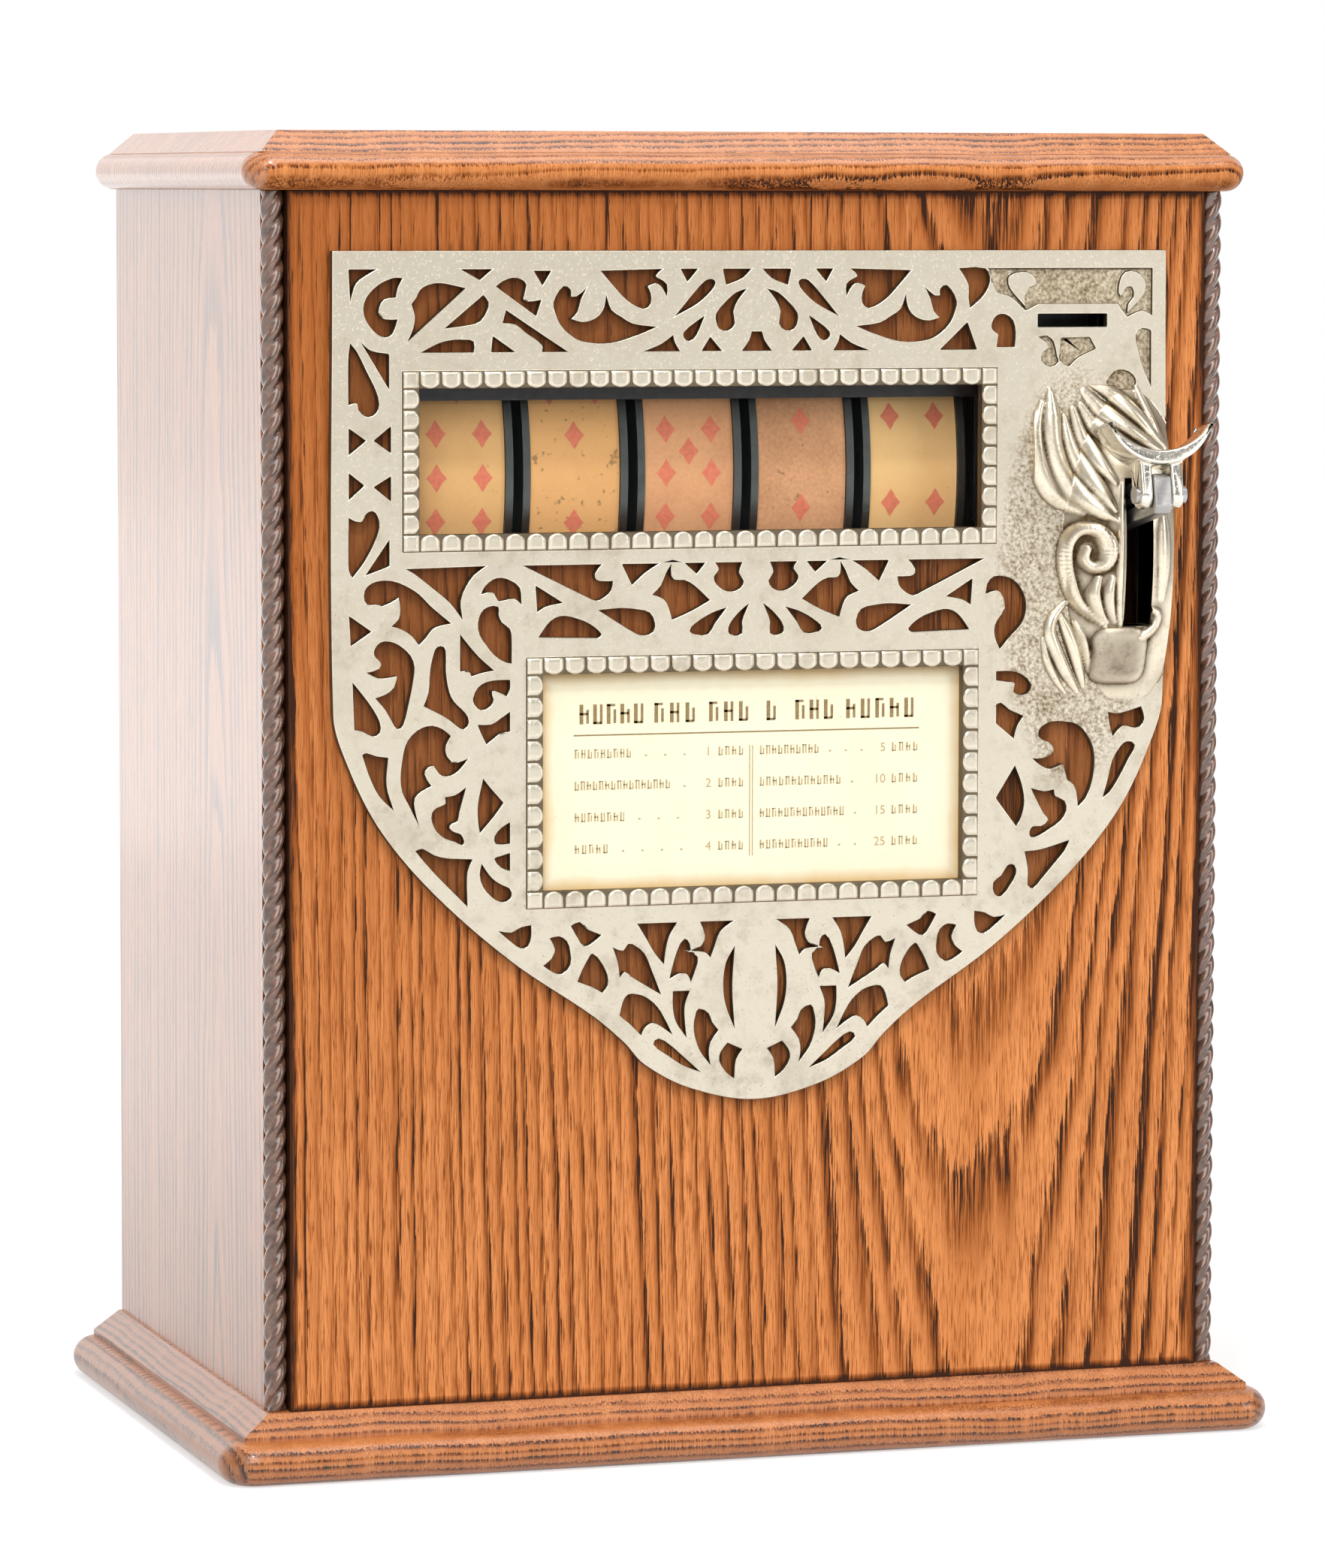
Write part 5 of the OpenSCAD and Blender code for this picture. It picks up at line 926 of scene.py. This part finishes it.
def pip_patch(x, up, wide=6.2, tall=8.4, lift=0.06):
    """A diamond on a 9 by 9 grid: |u| + |v| <= 1 by u = s(1 - |t|), bent round the reel at radius + lift."""
    s = np.linspace(-1, 1, 9)[None, :]
    t = np.linspace(-1, 1, 9)[:, None]
    half = (1 - np.abs(t)) * (1 - 0.18 * (1 - np.abs(2 * np.abs(t) - 1)))
    angle = (up + tall / 2 * t) / REEL_R
    r = REEL_R + lift
    return place(x + wide / 2 * s * half, REEL_Y - r * np.cos(angle), REEL_Z + r * np.sin(angle))


# Places of the pips on a card, in fractions of its half width and half height
CORNERS = [(u, v) for u in (-0.56, 0.56) for v in (-0.66, 0.66)]
TWO_COLUMNS = [(u, v) for u in (-0.56, 0.56) for v in (-0.66, 0, 0.66)]
CARD_FACES = {
    2: [(0, 0.66), (0, -0.66)],
    3: [(0, 0.66), (0, 0), (0, -0.66)],
    4: CORNERS,
    5: CORNERS + [(0, 0)],
    6: TWO_COLUMNS,
    7: TWO_COLUMNS + [(0, 0.33)],
    8: TWO_COLUMNS + [(0, 0.33), (0, -0.33)],
}
# The twelve cards of each reel, upwards from the one in the window, and how far each reel has overrun
REEL_CARDS = [[6, 2, 5, 3, 8, 4, 7, 2, 6, 5, 3, 4], [2, 7, 4, 6, 3, 8, 5, 2, 4, 7, 6, 3],
              [7, 3, 6, 2, 5, 8, 4, 7, 2, 6, 3, 5], [2, 5, 8, 4, 7, 3, 6, 2, 5, 8, 4, 7],
              [4, 6, 2, 7, 3, 5, 8, 4, 6, 2, 7, 3]]
OVERRUN = [-0.7, -1.4, 0.1, 2.3, 3.5]
for i, cards in enumerate(REEL_CARDS):
    middle = REEL_X + (i - 2) * REEL_PITCH
    patches = []
    for k, card in enumerate(cards):
        up = k * CARD_STEP * REEL_R + OVERRUN[i]
        patches += [pip_patch(middle + u * CARD_HALF_WIDTH, up + v * CARD_HALF_HEIGHT)
                    for u, v in CARD_FACES[card]]
    patches = np.array(patches)
    pips = mesh_object("reel_pips_%d" % (i + 1), patches, patch_faces(patches), pip_red)
    settle(pips, "reel_%d" % (i + 1), "reel_paper")

# %% [markdown]
# The award card is printed in brown ink: a heading over two columns of rows, in which dots lead to a
# plain number. Generic marks made of short bars fill the rows. The bars are thin patches just over
# the card, so that they stay sharp from near by.

# %% Print on the award card
CARD_FACE, INK_LIFT = 0.1, 0.05
INK_Y = CARD_FACE - INK_LIFT
HEADING_Z, HEADING_TALL, RULE_Z = 203.2, 5.8, 197
FIRST_ROW, ROW_STEP, ROW_TALL = 191.5, 9.4, 2.6
LEFT_COLUMN, RIGHT_COLUMN, COLUMN_END = -56, 1.5, 52


def bar(x0, x1, z, tall):
    """A flat strip from x0 to x1, as a 2 by 2 grid."""
    return place(np.array([[x0, x1]] * 2), INK_Y, np.array([[z - tall / 2] * 2, [z + tall / 2] * 2]))


def marks(x0, x1, z, tall, weight):
    """A row of marks: each has an upright stem, a second stem and one rail at a changing height."""
    cell = tall * 0.72
    count = max(1, int((x1 - x0) / cell))
    made = []
    for k in range(count):
        x = x0 + (k + 0.2) * (x1 - x0) / count
        made.append(bar(x, x + weight, z, tall))
        rail = z + tall * (0.45, -0.45, 0.02)[(k * 2 + count) % 3]
        made.append(bar(x, x + cell * 0.62, rail, weight * 0.6))
        second = x + cell * 0.5
        lowered, reach = (0, 1.0) if k % 3 == 1 else (0.12, 0.7)
        made.append(bar(second, second + weight * 0.7, z - tall * lowered, tall * reach))
    return made


def dots(first, last, step, z):
    return [bar(x, x + 0.7, z - 0.8, 0.5) for x in np.arange(first, last, step)]


def printed(name, strips, ink):
    """One mesh from many 2 by 2 grids, printed in one ink."""
    patches = np.array(strips)
    return settle(mesh_object(name, patches, patch_faces(patches), ink), "case", "card")


heading = [bar(LEFT_COLUMN, COLUMN_END, RULE_Z, 0.4)]
for a, b in [(-55, -34), (-32, -17.5), (-15, -1), (2.5, 9.5), (12, 25.5), (28, 51)]:
    heading += marks(a, b, HEADING_Z, HEADING_TALL, 1.15)
printed("award_card_heading", heading, ink_brown)
strips = [bar(-1.5, -1.2, 176.5, 33.0), bar(-0.6, -0.3, 176.5, 33.0)]
for row, (left, right) in enumerate([(18, 19), (30, 26), (16, 27), (11, 22)]):
    z = FIRST_ROW - row * ROW_STEP
    for a, b in ((LEFT_COLUMN, LEFT_COLUMN + left), (-11.5, -3),
                 (RIGHT_COLUMN, RIGHT_COLUMN + right), (43, COLUMN_END)):
        strips += marks(a, b, z, ROW_TALL, 0.5)
    strips += dots(LEFT_COLUMN + left + 4, -20, 6.0, z)
    strips += dots(RIGHT_COLUMN + right + 3, 34, 5.0, z)
printed("award_card_print", strips, ink_faded)

# %% [markdown]
# The numbers are Blender's own text. It is made a mesh first, and its points then go to their place
# on the card, so that the finished piece needs no font.

# %% Numbers on the award card
SIZE_OF_FIGURES = 1.45
LEFT_NUMBERS, RIGHT_NUMBERS = -13.3, 41.5


def number(text, x, z, tall):
    """A plain number set flat on the card, its right end at x and its middle at z."""
    curve = bpy.data.curves.new("number_" + text, "FONT")
    curve.body = text
    curve.size = tall * SIZE_OF_FIGURES * MM
    curve.align_x = "RIGHT"
    made = into_scene(bpy.data.objects.new("number_" + text, curve))
    bpy.context.view_layer.update()
    mesh = bpy.data.meshes.new_from_object(made)
    bpy.data.objects.remove(made)
    co = np.zeros(len(mesh.vertices) * 3)
    mesh.vertices.foreach_get("co", co)
    across, up = co[0::3] / MM, co[1::3] / MM
    mesh.vertices.foreach_set("co", place(x + across, INK_Y, z - tall / 2 + up).ravel())
    mesh.materials.clear()
    mesh.materials.append(ink_faded)
    return settle(into_scene(bpy.data.objects.new("award_" + text, mesh)), "case", "card")


for row, (left, right) in enumerate([("1", "5"), ("2", "10"), ("3", "15"), ("4", "25")]):
    number(left, LEFT_NUMBERS, FIRST_ROW - row * ROW_STEP, ROW_TALL)
    number(right, RIGHT_NUMBERS, FIRST_ROW - row * ROW_STEP, ROW_TALL)

# %% [markdown]
# The machine stands on a plain white floor. The floor shows white to the camera, less so near the
# machine, and still takes its shadow: it is a dull grey that glows for the rays that see it directly,
# mirrored or through glass, and for no others.

# %% Floor
FLOOR_HALF = 6.0


def ray(mat, kind):
    return Field(mat, add(mat, "LightPath").outputs["Is %s Ray" % kind])


def fade(mat, value, start, end, low=0.0, high=1.0):
    """Goes from low to high as value goes from start to end, and stays there outside."""
    values = {"Value": value, "From Min": start, "From Max": end, "To Min": low, "To Max": high}
    return Field(mat, add(mat, "MapRange", values).outputs[0])


floor_white, floor_shader = material("floor_white", Base_Color=(0.5, 0.5, 0.5, 1), Roughness=0.9,
                                     Emission_Color=(1, 1, 1, 1))
seen = ray(floor_white, "Camera").most(ray(floor_white, "Glossy")).most(ray(floor_white, "Transmission"))
coords = add(floor_white, "TexCoord").outputs["Object"]
away = add(floor_white, "VectorMath", {0: coords}, operation="LENGTH").outputs["Value"]
glow = seen * fade(floor_white, away, 0.25, 0.9, 0.6, 1.0)
feed(floor_white, floor_shader.inputs["Emission Strength"], glow)
corners = FLOOR_HALF * np.array([[-1, -1, 0], [1, -1, 0], [1, 1, 0], [-1, 1, 0]])
floor = mesh_object("floor", corners + [0, 0, float(cad_low[2])], [[0, 1, 2, 3]], floor_white)
print("floor height:", round(float(cad_low[2]), 4))

# %% [markdown]
# The room is bright above and to the left, and dim in front, so that metal has something to mirror.
# Behind the machine stands a white backdrop, which metal and varnish mirror too.

# %% Surround


def choose(mat, fac, a, b):
    return Field(mat, add(mat, "Mix", {0: fac, 2: a, 3: b}, data_type="FLOAT").outputs[0])


world = bpy.data.worlds.new("surround")
bpy.context.scene.world = world
world.use_nodes = True
sky = world.node_tree.nodes["Background"]
sky.inputs["Color"].default_value = (1, 1, 1, 1)
x, y, z = axes(world, add(world, "TexCoord").outputs["Generated"])
room = fade(world, z, -0.1, 0.75) * 0.40 + fade(world, x, 0.25, -0.95) * 0.28 + 0.15
mirrored = room.most(fade(world, y, 0.0, 0.4))
room = choose(world, ray(world, "Glossy"), room, mirrored)
straight = ray(world, "Camera").most(ray(world, "Transmission"))
feed(world, sky.inputs["Strength"], choose(world, straight, room, 1.0))
print("surround:", len(world.node_tree.nodes), "nodes")

# %% [markdown]
# Soft studio light: a large lamp at the left and front, a small one over it that gives the piercings
# their crisp shadows, and weaker ones at the right, behind the left side and above.

# %% Lamps


def soft_lamp(name, where, aim, size, power):
    lamp = into_scene(bpy.data.objects.new(name, bpy.data.lights.new(name, "AREA")))
    lamp.data.shape = "RECTANGLE"
    lamp.data.size, lamp.data.size_y = size
    lamp.data.energy = power
    lamp.location = where
    lamp.rotation_euler = (Vector(aim) - Vector(where)).to_track_quat("-Z", "Y").to_euler()


soft_lamp("key_left", (-0.9, -2.3, 1.5), (0, 0, 0.2), (1.7, 1.7), 29)
soft_lamp("spark", (-0.5, -1.2, 1.75), (0, 0, 0.2), (0.2, 0.2), 10.5)
soft_lamp("fill_right", (1.6, -1.7, 0.9), (0, 0, 0.2), (0.8, 1.4), 12)
soft_lamp("left_wall", (-0.62, 1.6, 0.6), (-0.15, 0.05, 0.2), (1.0, 1.5), 2.5)
soft_lamp("ceiling", (0.1, -0.5, 1.7), (0, 0, 0.3), (1.2, 1.0), 8)
